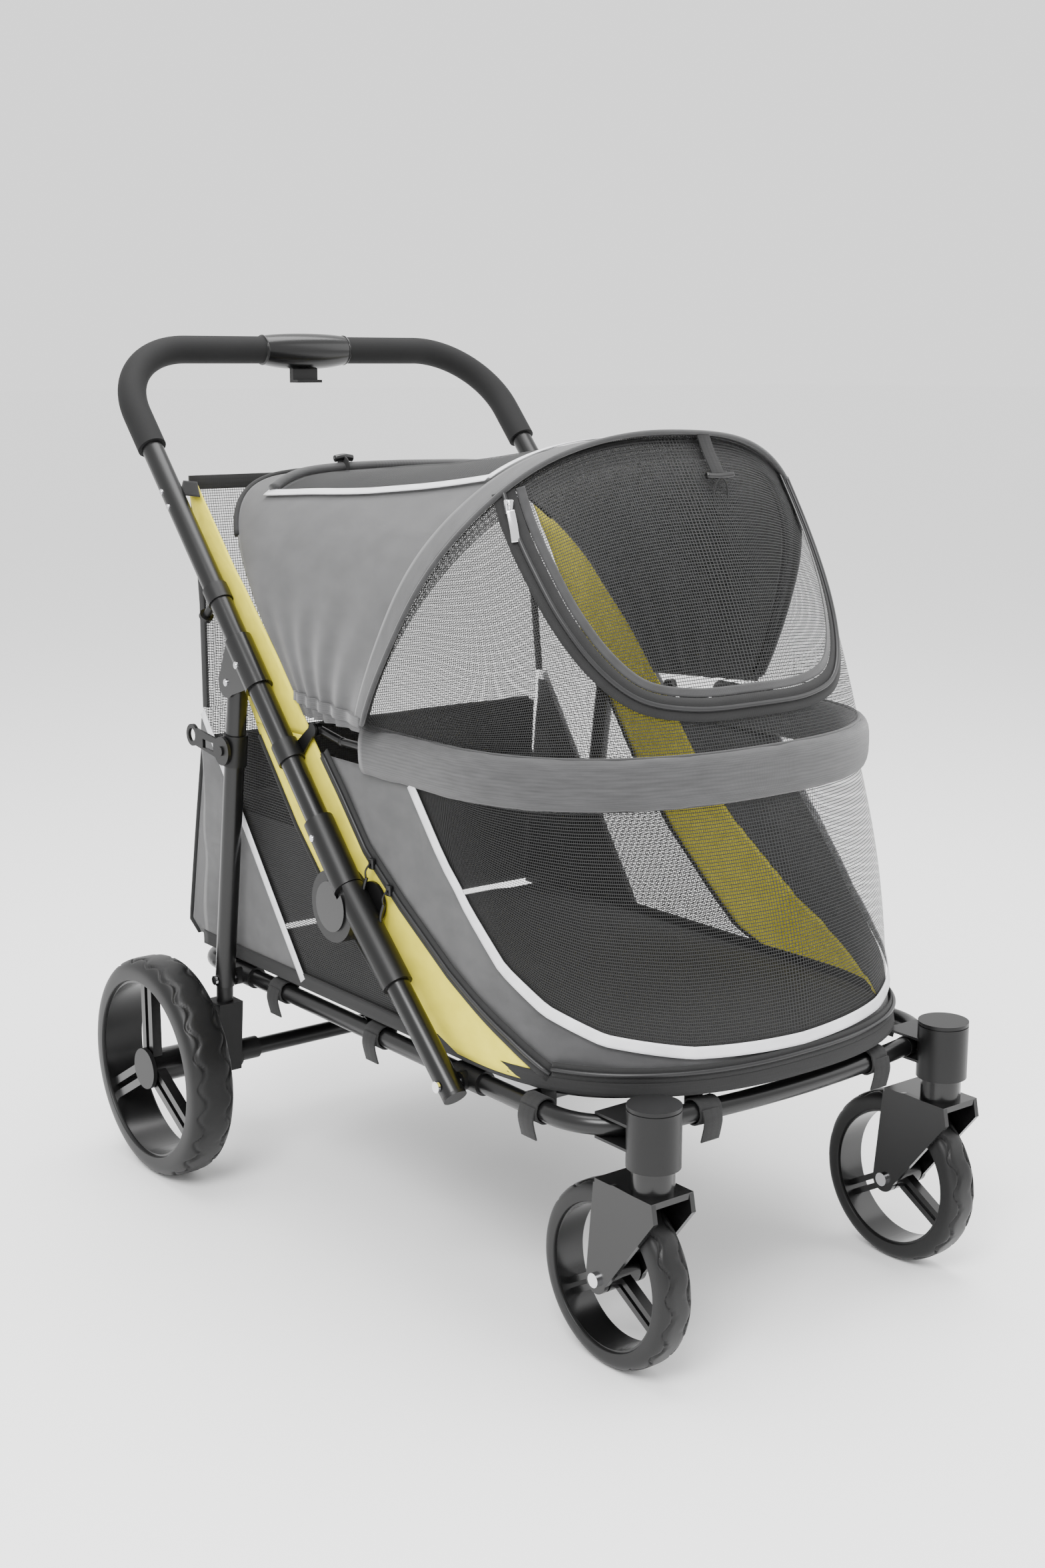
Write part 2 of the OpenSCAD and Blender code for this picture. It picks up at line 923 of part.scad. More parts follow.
// Flat hook with a round window and a slot; it swings on a rivet on the clamp's face.
module storage_latch() {
    face = side_x + leg_r + 3.4;
    tip = latch_at + [74, 10];
    color(satin)
        placed()
            on_side(right)
                difference() {
                    union() {
                        cross_rod(latch_at, face, face + 4, 18);
                        cross_rod(tip, face, face + 4, 14);
                        side_plate(face, face + 4)
                            polygon([latch_at + [0, -12], latch_at + [0, 12],
                                tip + [0, 11], tip + [0, -11]]);
                    }
                    cross_rod(tip, face - 1, face + 5, 8.5);
                    side_plate(face - 1, face + 5)
                        polygon([latch_at + [20, -4], latch_at + [46, -2],
                            latch_at + [46, 9], latch_at + [20, 7]]);
                    cross_rod(latch_at, face - 1, face + 5, 3 + running);
                }
}

// Foot brake inside each wheel: a lever on the housing's pin with a wider tread at its end.
brake_pivot = [rear_axle_y - 30.4, axle_z + 27];
brake_face = side_x - foot_half - gap;

module brake_pedal(side) {
    p = brake_pivot;
    color(satin)
        placed()
            on_side(side)
                difference() {
                    union() {
                        cross_rod(p, brake_face - 18, brake_face, 8);
                        side_plate(brake_face - 17, brake_face - 1)
                            polygon([p + [0, 6], p + [0, -1], p + [76, 25], p + [76, 31]]);
                        side_plate(brake_face - 38, brake_face - 0.5)
                            polygon([p + [62, 27.5], p + [62, 20], p + [78, 25], p + [78, 33]]);
                    }
                    cross_rod(p, 0, 500, 3 + running);
                }
}

module left_brake_pedal() {
    brake_pedal(left);
}

module right_brake_pedal() {
    brake_pedal(right);
}

// ---------- wheels ----------

// Draws a body of revolution about the X axis at the point p, from a profile in [r, x].
module turned(x, p) {
    translate([x, p.x, p.y])
        rotate([0, 90, 0])
            rotate_extrude()
                children();
}

// Tyre section: a flat tread with rounded shoulders.
module tyre_section(r, w, depth) {
    shoulder = 10;
    translate([r - depth, -w / 2])
        square([depth - shoulder, w]);
    translate([r - depth, -w / 2 + shoulder])
        square([depth, w - 2 * shoulder]);
    for (s = [-1, 1])
        translate([r - shoulder, s * (w / 2 - shoulder)])
            circle(shoulder);
}

rear_tyre_depth = 26;

module rear_tyre(side) {
    color(black)
        placed()
            on_side(side)
                turned(rear_wheel_x, [rear_axle_y, axle_z])
                    tyre_section(rear_wheel_r, rear_wheel_w, rear_tyre_depth);
}

module left_rear_tyre() {
    rear_tyre(left);
}

module right_rear_tyre() {
    rear_tyre(right);
}

// Three pairs of spokes from the hub to the rim, in a wheel centred at the origin on X.
module spoke_pairs(hub, rim, x0, x1, half, pitch) {
    for (i = [0 : 2])
        rotate([i * 120, 0, 0])
            for (s = [-1, 1])
                translate([x0, s * pitch - half, hub - 4])
                    cube([x1 - x0, 2 * half, rim - hub + 8]);
}

module rear_rim(side) {
    rim_r = rear_wheel_r - rear_tyre_depth;
    half = rear_wheel_w / 2;
    color(black)
        placed()
            on_side(side) {
                difference() {
                    union() {
                        turned(rear_wheel_x, [rear_axle_y, axle_z]) {
                            translate([rim_r - 5, -half + 4])
                                square([5, rear_wheel_w - 8]);
                            translate([axle_r + running, -half + 3])
                                square([22 - axle_r, rear_wheel_w - 10.5]);
                        }
                        translate([rear_wheel_x, rear_axle_y, axle_z])
                            spoke_pairs(22, rim_r - 7, half - 22, half - 9, 5, 9);
                    }
                    cross_rod([rear_axle_y, axle_z], 0, 500, axle_r + running);
                }
            }
}

module left_rear_rim() {
    rear_rim(left);
}

module right_rear_rim() {
    rear_rim(right);
}

module hub_cap(side) {
    face = rear_wheel_x + rear_wheel_w / 2;
    color(satin)
        placed()
            on_side(side)
                cross_rod([rear_axle_y, axle_z], face - 7.5, face - 2, 27);
}

module left_hub_cap() {
    hub_cap(left);
}

module right_hub_cap() {
    hub_cap(right);
}

// ---------- castors ----------

fork_gap = castor_wheel_w / 2 + 2;
arm_t = 6;
crown_z = 2 * castor_wheel_r + 4;

// Side view of one fork arm, wide at the crown and narrow at the axle.
module arm_outline() {
    axle = [castor_axle_y, castor_wheel_r];
    polygon([[castor_pivot_y - 30, crown_z + 6], [castor_pivot_y + 30, crown_z + 8],
        [castor_pivot_y + 62, crown_z + 2], axle + [16, 0], axle + [-15, -4],
        [castor_pivot_y - 34, crown_z - 14]]);
    translate(axle)
        circle(16);
}

module castor_fork(side) {
    color(satin)
        placed()
            on_side(side)
                difference() {
                    union() {
                        translate([castor_x, castor_pivot_y, crown_z])
                            cylinder(h = housing_low - gap - crown_z, r = 23);
                        translate([castor_x, castor_pivot_y, crown_z + 4])
                            cylinder(h = housing_top - 14 - crown_z - 4, r = stem_r);
                        translate([castor_x - fork_gap - arm_t, castor_pivot_y - 30, crown_z])
                            cube([2 * (fork_gap + arm_t), 90, 7]);
                        for (s = [-1, 1])
                            side_plate(castor_x + s * (fork_gap + arm_t / 2) - arm_t / 2,
                                castor_x + s * (fork_gap + arm_t / 2) + arm_t / 2)
                                arm_outline();
                    }
                    cross_rod([castor_axle_y, castor_wheel_r], 0, 500, castor_bolt_r);
                }
}

module left_castor_fork() {
    castor_fork(left);
}

module right_castor_fork() {
    castor_fork(right);
}

module castor_axle(side) {
    reach = fork_gap + arm_t;
    p = [castor_axle_y, castor_wheel_r];
    color(chrome)
        placed()
            on_side(side) {
                cross_rod(p, castor_x - reach, castor_x + reach, castor_bolt_r);
                for (s = [-1, 1])
                    cross_rod(p, castor_x + s * (reach + 2) - 2, castor_x + s * (reach + 2) + 2, 8);
            }
}

module left_castor_axle() {
    castor_axle(left);
}

module right_castor_axle() {
    castor_axle(right);
}

castor_tyre_depth = 20;

module castor_tyre(side) {
    color(black)
        placed()
            on_side(side)
                turned(castor_x, [castor_axle_y, castor_wheel_r])
                    tyre_section(castor_wheel_r, castor_wheel_w, castor_tyre_depth);
}

module left_castor_tyre() {
    castor_tyre(left);
}

module right_castor_tyre() {
    castor_tyre(right);
}

module castor_rim(side) {
    rim_r = castor_wheel_r - castor_tyre_depth;
    half = castor_wheel_w / 2;
    color(black)
        placed()
            on_side(side)
                difference() {
                    union() {
                        turned(castor_x, [castor_axle_y, castor_wheel_r]) {
                            translate([rim_r - 4, -half + 3])
                                square([4, castor_wheel_w - 6]);
                            translate([1, -half + 0.5])
                                square([15, castor_wheel_w - 1]);
                        }
                        translate([castor_x, castor_axle_y, castor_wheel_r])
                            spoke_pairs(16, rim_r - 6, -6, 6, 3.5, 6);
                    }
                    cross_rod([castor_axle_y, castor_wheel_r], 0, 500, castor_bolt_r + running);
                }
}

module left_castor_rim() {
    castor_rim(left);
}

module right_castor_rim() {
    castor_rim(right);
}

// ---------- front rail and canopy ----------

// Sweeps a profile round the front rail: a cuff joins each corner to the bow.
module along_rail(start_y) {
    seam_x = rail_cx + rail_corner * cos(rail_turn);
    seam_y = rail_cy - rail_corner * sin(rail_turn);
    both_sides() {
        translate([rail_half_w, start_y, rail_z])
            rotate([90, 0, 0])
                linear_extrude(start_y - rail_cy)
                    children(0);
        translate([rail_cx, rail_cy, rail_z])
            rotate([0, 0, -rail_turn])
                rotate_extrude(angle = rail_turn)
                    translate([rail_corner, 0])
                        children(0);
        translate([seam_x, seam_y, rail_z])
            rotate([90, 0, -rail_turn])
                linear_extrude(10, center = true)
                    children(1);
    }
    translate([0, rail_front_y + rail_bow_r, rail_z])
        rotate([0, 0, -90 - rail_bow_turn])
            rotate_extrude(angle = 2 * rail_bow_turn, $fn = 360)
                translate([rail_bow_r, 0])
                    children(0);
}

rail_tip_x = side_x - push_r - 2.5 - gap;
rail_knee_y = 122;

// The rod drops from its flattened eye to a knee and runs level into the sleeve.
module rail_rod(r) {
    along_rail(rail_knee_y - 20) {
        circle(r, $fn = 48);
        circle(r + 0.6, $fn = 48);
    }
    both_sides() {
        eye = [rail_tip_x - rail_r - 1, rail_end.x, rail_end.y];
        knee = [rail_half_w, rail_knee_y - 20, rail_z];
        run = eye - knee;
        translate(knee)
            sphere(1.15 * r);
        translate(knee)
            rotate([0, acos(run.z / norm(run)), atan2(run.y, run.x)])
                cylinder(h = norm(run), r = r);
    }
}

module front_rail() {
    color(black)
        placed() {
            rail_rod(rail_r);
            both_sides()
                cross_rod(rail_end, rail_tip_x - 6, rail_tip_x, 8);
        }
}

module rail_sleeve() {
    color(charcoal)
        placed()
            difference() {
                along_rail(sleeve_start_y) {
                    square([sleeve_t, sleeve_h], center = true);
                    square([sleeve_t + 1, sleeve_h + 1], center = true);
                }
                along_rail(sleeve_start_y + 1) {
                    circle(rail_r, $fn = 48);
                    circle(rail_r + 0.6, $fn = 48);
                }
            }
}

// Outline of the canopy in a cross section: upright sides and round shoulders.
module hood_section(half_w, top, corner) {
    translate([-half_w, 0])
        square([2 * half_w, top - corner]);
    translate([-half_w + corner, 0])
        square([2 * (half_w - corner), top]);
    for (s = [-1, 1])
        translate([s * (half_w - corner), top - corner])
            circle(corner, $fn = 32);
}

// Thin slices of the canopy at its front arch and at its rear, less an inset.
module arch_slice(inset) {
    translate([0, arch_base_y, hood_low_z])
        rotate([90 + arch_lean, 0, 0])
            linear_extrude(0.2)
                hood_section(arch_half_w - inset, arch_len - inset, arch_corner - inset);
}

module rear_slice(inset) {
    translate([0, cabin_rear_y - inset, hood_low_z])
        rotate([90, 0, 0])
            linear_extrude(0.2)
                hood_section(rear_half_w - inset, rear_top_z - hood_low_z - inset,
                    rear_corner - inset);
}

// Hollow canopy, open at the front arch and underneath.
module canopy_hood() {
    color(charcoal)
        placed()
            difference() {
                hull() {
                    arch_slice(0);
                    rear_slice(0);
                }
                hull() {
                    translate([0, -1, -1])
                        arch_slice(fabric);
                    translate([0, 0, -1])
                        rear_slice(fabric);
                }
            }
}

// Spring rod that holds the arch, just inside the canopy's front edge.
module canopy_bow() {
    w = arch_half_w - fabric - 14;
    c = arch_corner - fabric - 14;
    top = arch_len - fabric - 14;
    color(black)
        placed()
            translate([0, arch_base_y + 10, hood_low_z + 3])
                rotate([90 + arch_lean, 0, 0])
                    both_sides() {
                        translate([w, 0, 0])
                            rotate([-90, 0, 0])
                                cylinder(h = top - c, r = 4);
                        translate([w - c, top - c, 0])
                            rotate_extrude(angle = 90)
                                translate([c, 0])
                                    circle(4);
                        translate([0, top, 0])
                            rotate([0, 90, 0])
                                cylinder(h = w - c, r = 4);
                    }
}

// Plan of the front screen's foot, over the rail.
module screen_foot(inset) {
    translate([0, 0, hood_low_z + 2])
        linear_extrude(0.2)
            hull() {
                for (s = [-1, 1])
                    translate([s * (rail_half_w - rail_corner - 4), rail_front_y + rail_corner])
                        circle(rail_corner - inset, $fn = 32);
                translate([-rail_half_w + 4 + inset, arch_base_y - 16])
                    square([2 * (rail_half_w - 4 - inset), 10]);
            }
}

// Slider of the window's zip, parked at the top corner on the screen's outer face.
slider_x = 225;
slider_z = 898;
slider_lean = -16;
slider_y = -210.8;

// Mesh screen that bulges forward from the arch down to the rail.
module front_screen() {
    color(mesh_grey)
        placed()
            difference() {
                hull() {
                    translate([0, -3, 0])
                        arch_slice(2);
                    screen_foot(0);
                }
                hull() {
                    translate([0, 4, -1])
                        arch_slice(2 + fabric);
                    translate([0, 6, -2])
                        screen_foot(fabric);
                }
                translate([0, arch_base_y - 3, hood_low_z])
                    rotate([arch_lean, 0, 0])
                        translate([-500, 0, -300])
                            cube([1000, 500, 900]);
            }
}

module window_slider() {
    color(chrome)
        placed()
            translate([-slider_x, slider_y, slider_z])
                rotate([slider_lean, 0, 0])
                    cube([9, 5, 17], center = true);
}

base_frame_tube();
floor_cross_tubes();
pivot_saddles();
castor_brackets();
left_castor_housing();
right_castor_housing();
base_bolts();
floor_board();
floor_mat();
side_panels();
rear_panel();
front_panel();
hook_loop_straps();
left_lower_tube();
right_lower_tube();
lower_sockets();
lower_tube_plugs();
push_handle_tube();
foam_grips();
handle_housing_top();
handle_housing_bottom();
left_upper_socket();
right_upper_socket();
hinge_covers();
collars();
latch_peg();
frame_rivets();
rail_brackets();
release_lever();
left_rear_leg();
right_rear_leg();
left_axle_housing();
right_axle_housing();
rear_cross_tube();
cross_tube_tees();
rear_axles();
latch_clamp();
storage_latch();
left_brake_pedal();
right_brake_pedal();
left_rear_tyre();
right_rear_tyre();
left_rear_rim();
right_rear_rim();
left_hub_cap();
right_hub_cap();
left_castor_fork();
right_castor_fork();
left_castor_axle();
right_castor_axle();
left_castor_tyre();
right_castor_tyre();
left_castor_rim();
right_castor_rim();
front_rail();
rail_sleeve();
canopy_hood();
canopy_bow();
front_screen();
window_slider();
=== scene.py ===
import json
import math
import bpy
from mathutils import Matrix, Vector, noise


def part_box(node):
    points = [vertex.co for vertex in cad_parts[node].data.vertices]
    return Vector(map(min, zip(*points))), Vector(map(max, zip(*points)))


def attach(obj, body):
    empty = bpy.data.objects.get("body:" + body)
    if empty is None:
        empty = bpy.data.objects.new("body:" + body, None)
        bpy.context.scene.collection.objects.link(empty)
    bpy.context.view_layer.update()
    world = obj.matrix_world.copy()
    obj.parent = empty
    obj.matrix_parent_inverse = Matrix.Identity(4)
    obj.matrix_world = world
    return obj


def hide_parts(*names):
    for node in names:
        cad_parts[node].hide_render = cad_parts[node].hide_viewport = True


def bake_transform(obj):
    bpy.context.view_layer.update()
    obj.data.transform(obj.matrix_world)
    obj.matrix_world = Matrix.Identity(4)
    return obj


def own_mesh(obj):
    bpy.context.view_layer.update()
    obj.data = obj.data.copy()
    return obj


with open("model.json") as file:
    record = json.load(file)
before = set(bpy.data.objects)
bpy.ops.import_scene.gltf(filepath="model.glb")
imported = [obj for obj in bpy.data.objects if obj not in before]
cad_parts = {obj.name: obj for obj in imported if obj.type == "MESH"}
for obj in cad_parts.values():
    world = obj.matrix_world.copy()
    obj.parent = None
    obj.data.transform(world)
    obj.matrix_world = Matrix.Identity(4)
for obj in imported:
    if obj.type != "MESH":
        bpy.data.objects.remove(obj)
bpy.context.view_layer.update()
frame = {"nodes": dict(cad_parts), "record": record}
JOINTS = {j["name"]: j for j in frame["record"]["behaviour"]["joints"]}
# The record's frame is centred front to back; the shapes here are measured about the castor pivots.
MID = -0.1445 - JOINTS["lower_fold"]["pos_m"][1]
WAIST = 0.615


def at(x, y, z):
    return Vector((x, y - MID, z))


def lerp(a, b, t):
    return a + (b - a) * t


def along_table(table, x):
    if x <= table[0][0]:
        return table[0][1]
    for (x0, y0), (x1, y1) in zip(table, table[1:]):
        if x <= x1:
            t = (x - x0) / (x1 - x0)
            return lerp(y0, y1, t)
    return table[-1][1]


# ---------- mesh helpers ----------


def deselect():
    bpy.ops.object.select_all(action="DESELECT")


def edit(obj, work):
    deselect()
    bpy.context.view_layer.objects.active = obj
    obj.select_set(True)
    bpy.ops.object.mode_set(mode="EDIT")
    bpy.ops.mesh.select_all(action="SELECT")
    work()
    bpy.ops.object.mode_set(mode="OBJECT")


def sheet_grid(name, nu, nv, place, size=(1.0, 1.0)):
    deselect()
    bpy.ops.mesh.primitive_grid_add(x_subdivisions=nu, y_subdivisions=nv, size=1)
    obj = bpy.context.object
    obj.name = name
    for v in obj.data.vertices:
        v.co = place(v.co.x + 0.5, v.co.y + 0.5)
    for d in obj.data.uv_layers.active.data:
        d.uv = (d.uv.x * size[0], d.uv.y * size[1])
    spots = [v.co for v in obj.data.vertices]
    rows = [spots[i * (nu + 1):(i + 1) * (nu + 1)] for i in range(nv + 1)]
    columns = [spots[i::nu + 1] for i in range(nu + 1)]
    max(length_of(r) for r in rows)
    max(length_of(c) for c in columns)
    bpy.ops.object.shade_smooth()
    return obj


def apply_modifier(obj, kind, **settings):
    deselect()
    bpy.context.view_layer.objects.active = obj
    obj.select_set(True)
    m = obj.modifiers.new(kind.lower(), kind)
    for key, value in settings.items():
        setattr(m, key, value)
    bpy.ops.object.modifier_apply(modifier=m.name)


def thicken(obj, t, offset=0.0):
    apply_modifier(obj, "SOLIDIFY", thickness=t, offset=offset)
    return obj


def seal(obj):
    def work():
        bpy.ops.mesh.remove_doubles(threshold=0.00002)
        bpy.ops.mesh.fill_holes(sides=0)
        bpy.ops.mesh.normals_make_consistent(inside=False)

    edit(obj, work)
    return obj


def smooth_path(points, n):
    """Points along a rounded line through the given ones."""
    out = []
    last = len(points) - 1
    for i in range(n + 1):
        s = i / n * last
        k = min(int(s), last - 1)
        t = s - k
        p0 = points[max(k - 1, 0)]
        p1 = points[k]
        p2 = points[k + 1]
        p3 = points[min(k + 2, last)]
        out.append(0.5 * ((2 * p1) + (p2 - p0) * t + (2 * p0 - 5 * p1 + 4 * p2 - p3) * t * t
            + (3 * p1 - p0 - 3 * p2 + p3) * t * t * t))
    return out


def length_of(path):
    return sum((b - a).length for a, b in zip(path, path[1:]))


def frames_along(path, up=None):
    frames = []
    side = None
    for i in range(len(path)):
        tangent = (path[min(i + 1, len(path) - 1)] - path[max(i - 1, 0)]).normalized()
        if up is not None:
            side = tangent.cross(up(i)).normalized()
        elif side is None:
            hint = Vector((0, 0, 1)) if abs(tangent.z) < 0.9 else Vector((1, 0, 0))
            side = tangent.cross(hint).normalized()
        else:
            side = (side - tangent * side.dot(tangent)).normalized()
        frames.append((side, side.cross(tangent).normalized()))
    return frames


def sweep(name, path, profile, up=None, close=False):
    """Carries a closed profile along a path; close joins its ends into a ring."""
    frames = frames_along(path, up)
    nu = len(path) - 1
    nv = len(profile)

    def place(u, v):
        i = round(u * nu)
        if close and i == nu:
            i = 0
        a, b = profile[round(v * nv) % nv]
        side, rise = frames[i]
        return path[i] + side * a + rise * b

    return seal(sheet_grid(name, nu, nv, place, (length_of(path), 0.05)))


def round_profile(r, sides=12, flat=1.0):
    turn = [2 * math.pi * i / sides for i in range(sides)]
    return [(r * math.cos(a), r * flat * math.sin(a)) for a in turn]


def box_profile(w, h, r=0.0006):
    out = []
    for cx, cy, a0 in ((1, 1, 0), (-1, 1, 90), (-1, -1, 180), (1, -1, 270)):
        for k in range(3):
            a = math.radians(a0 + 45 * k)
            out.append((cx * (w / 2 - r) + r * math.cos(a), cy * (h / 2 - r) + r * math.sin(a)))
    return out


def cord(name, points, r, n=40, sides=10, close=False):
    path = smooth_path(points, n)
    return sweep(name, path, round_profile(r, sides), close=close)


def joined(name, objects):
    deselect()
    for o in objects:
        o.select_set(True)
    bpy.context.view_layer.objects.active = objects[0]
    bpy.ops.object.join()
    objects[0].name = name
    return objects[0]


# ---------- the cabin's surfaces ----------

# Front and rear edges of the yellow band in the side view, as (height, distance back).
BAND_FRONT = [(0.298, -0.275), (0.34, -0.203), (0.39, -0.105), (0.449, -0.014), (0.5, 0.055),
    (0.56, 0.105), (0.627, 0.165), (0.703, 0.232), (0.78, 0.307), (0.905, 0.443)]
BAND_REAR = [(0.298, -0.085), (0.325, 0.0), (0.37, 0.06), (0.432, 0.135), (0.5, 0.2),
    (0.6, 0.278), (0.7, 0.345), (0.8, 0.408), (0.905, 0.466)]
HEM_Z = 0.298
NET_Z = 0.495
REAR_EDGE = [(0.298, 0.45), (0.5, 0.434), (0.615, 0.427), (0.75, 0.437), (0.83, 0.45), (0.9, 0.466)]


def rear_y(z):
    return along_table(REAR_EDGE, z)


def wall_shape(z):
    t = min(max((z - HEM_Z) / (0.6 - HEM_Z), 0.0), 1.0)
    return lerp(0.266, 0.274, t), lerp(-0.16, -0.10, t), lerp(0.234, 0.217, t)


def skin(p, z):
    """The lower cabin wall. p runs from -1 to 1 round the front and beyond that along the sides."""
    w, y0, depth = wall_shape(z)
    side = 1 if p >= 0 else -1
    if abs(p) > 1:
        return at(side * w, y0 + (abs(p) - 1) * 0.5, z)
    a = abs(p) * math.pi / 2
    e = 2 / 2.4
    return at(side * w * math.sin(a) ** e, y0 - depth * math.cos(a) ** e, z)


def skin_p(y, z):
    _, y0, depth = wall_shape(z)
    if y >= y0:
        return 1 + (y - y0) / 0.5
    c = min((y0 - y) / depth, 1.0) ** 1.2
    return math.acos(c) / (math.pi / 2)


def lifted(surface, a, b, lift, step=0.004):
    """A point on a surface, moved outwards from the cabin's middle."""
    p = surface(a, b)
    da = surface(a + step, b) - surface(a - step, b)
    db = surface(a, b + step) - surface(a, b - step)
    n = da.cross(db)
    if n.length < 1e-12:
        return p
    n.normalize()
    if n.dot(p - at(0, 0.05, 0.55)) < 0:
        n = -n
    return p + n * lift


ARCH_LOW = 0.645


def arch_point(a):
    """The canopy's front arch, from its right foot at a = 0 over the top to its left foot."""
    turn = math.pi * a
    e = 2 / 2.5
    c = math.cos(turn)
    x = -0.308 * math.copysign(abs(c) ** e, c)
    z = ARCH_LOW + 0.326 * math.sin(turn) ** e
    return at(x, 0.01 - 0.5 * (z - 0.64), z)


def hood_rear(a):
    turn = math.pi * a
    c = math.cos(turn)
    x = -0.277 * math.copysign(abs(c) ** 0.45, c)
    z = ARCH_LOW - 0.006 + 0.272 * math.sin(turn) ** 0.6
    return at(x, along_table(BAND_FRONT, z), z)


def hood(a, b):
    """The canopy's cloth, b running back from the arch."""
    a = min(max(a, 0.0), 1.0)
    p = arch_point(a).lerp(hood_rear(a), b)
    side = abs(2 * a - 1)
    low = max(0.0, 1 - (p.z - ARCH_LOW) / 0.16)
    out = 1 if p.x > 0 else -1
    sag = -0.012 * math.sin(math.pi * b) * (1 - side)
    back = min(max(b, 0.0), 1.0)
    fold = 0.0035 * low * math.sin(31 * back ** 1.4 + 30 * p.z) * math.sin(math.pi * back) ** 0.5
    soft = 0.004 * noise.noise(Vector((p.x * 7, p.y * 9, p.z * 9)))
    return p + Vector((out * (fold * side + soft * side), 0, sag + soft * (1 - side)))


def rail_point(p, z):
    w, y0, depth = 0.274, -0.10, 0.223
    side = 1 if p >= 0 else -1
    if abs(p) > 1:
        return at(side * w, y0 + (abs(p) - 1) * 0.5, z)
    a = abs(p) * math.pi / 2
    e = 2 / 2.4
    return at(side * w * math.sin(a) ** e, y0 - depth * math.cos(a) ** e, z)


SCREEN_FOOT = 0.637


def screen(a, b):
    """The front mesh screen, b running down from the arch to the rail."""
    top = arch_point(min(max(a, 0.0), 1.0))
    foot = rail_point((2 * a - 1) * 1.25, SCREEN_FOOT)
    p = top.lerp(foot, b)
    middle = 1 - abs(2 * a - 1) ** 3
    out = Vector((0.35 * (2 * a - 1), -1, 0.25)).normalized()
    return p + out * (0.012 * math.sin(math.pi * b) * middle)


# ---------- materials ----------


def node_group(name, sockets_in, sockets_out):
    group = bpy.data.node_groups.new(name, "ShaderNodeTree")
    for label, kind, default in sockets_in:
        s = group.interface.new_socket(label, in_out="INPUT", socket_type=kind)
        if default is not None:
            s.default_value = default
    for label, kind in sockets_out:
        group.interface.new_socket(label, in_out="OUTPUT", socket_type=kind)
    return group, group.nodes.new("NodeGroupInput"), group.nodes.new("NodeGroupOutput")


def math_node(tree, operation, a, b=None):
    n = tree.nodes.new("ShaderNodeMath")
    n.operation = operation
    for k, v in enumerate((a, b)):
        if v is None:
            continue
        if isinstance(v, (int, float)):
            n.inputs[k].default_value = v
        else:
            tree.links.new(v, n.inputs[k])
    return n.outputs[0]


def weave_group():
    """Crossing threads in the cloth's own metres: Height for bump and Shade for colour."""
    ins = [("Threads", "NodeSocketFloat", 900.0)]
    group, start, end = node_group("Woven threads", ins,
        [("Height", "NodeSocketFloat"), ("Shade", "NodeSocketFloat")])
    uv = group.nodes.new("ShaderNodeTexCoord")
    parts = group.nodes.new("ShaderNodeSeparateXYZ")
    group.links.new(uv.outputs["UV"], parts.inputs[0])
    waves = []
    for axis in ("X", "Y"):
        scaled = math_node(group, "MULTIPLY", parts.outputs[axis], start.outputs["Threads"])
        turned = math_node(group, "MULTIPLY", scaled, math.pi)
        waves.append(math_node(group, "ABSOLUTE", math_node(group, "SINE", turned)))
    height = math_node(group, "MULTIPLY", waves[0], waves[1])
    blotch = group.nodes.new("ShaderNodeTexNoise")
    blotch.inputs["Scale"].default_value = 14
    blotch.inputs["Detail"].default_value = 6
    shade = math_node(group, "ADD", math_node(group, "MULTIPLY", height, 0.25), blotch.outputs["Fac"])
    group.links.new(height, end.inputs["Height"])
    group.links.new(shade, end.inputs["Shade"])
    return group


def mesh_group():
    """Open mesh: Cover is 1 on a thread and 0 in a hole."""
    ins = [("Pitch", "NodeSocketFloat", 0.003), ("Open", "NodeSocketFloat", 0.6)]
    group, start, end = node_group("Open mesh", ins,
        [("Cover", "NodeSocketFloat"), ("Height", "NodeSocketFloat")])
    uv = group.nodes.new("ShaderNodeTexCoord")
    parts = group.nodes.new("ShaderNodeSeparateXYZ")
    group.links.new(uv.outputs["UV"], parts.inputs[0])
    gaps = []
    for axis in ("X", "Y"):
        cell = math_node(group, "DIVIDE", parts.outputs[axis], start.outputs["Pitch"])
        centre = math_node(group, "ABSOLUTE",
            math_node(group, "SUBTRACT", math_node(group, "FRACT", cell), 0.5))
        half = math_node(group, "MULTIPLY", start.outputs["Open"], 0.5)
        gaps.append(math_node(group, "LESS_THAN", centre, half))
    hole = math_node(group, "MULTIPLY", gaps[0], gaps[1])
    cover = math_node(group, "SUBTRACT", 1.0, hole)
    group.links.new(cover, end.inputs["Cover"])
    group.links.new(cover, end.inputs["Height"])
    return group


def grain_group():
    """Fine moulded or painted grain with rubbed patches, from the object's own coordinates."""
    ins = [("Grain", "NodeSocketFloat", 900.0)]
    group, start, end = node_group("Surface grain", ins,
        [("Height", "NodeSocketFloat"), ("Rub", "NodeSocketFloat")])
    place = group.nodes.new("ShaderNodeTexCoord")
    fine = group.nodes.new("ShaderNodeTexNoise")
    fine.inputs["Detail"].default_value = 3
    group.links.new(place.outputs["Object"], fine.inputs["Vector"])
    group.links.new(start.outputs["Grain"], fine.inputs["Scale"])
    broad = group.nodes.new("ShaderNodeTexNoise")
    broad.inputs["Scale"].default_value = 9
    broad.inputs["Detail"].default_value = 8
    group.links.new(place.outputs["Object"], broad.inputs["Vector"])
    group.links.new(fine.outputs["Fac"], end.inputs["Height"])
    group.links.new(broad.outputs["Fac"], end.inputs["Rub"])
    return group


GROUPS = {"weave": weave_group(), "mesh": mesh_group(), "grain": grain_group()}


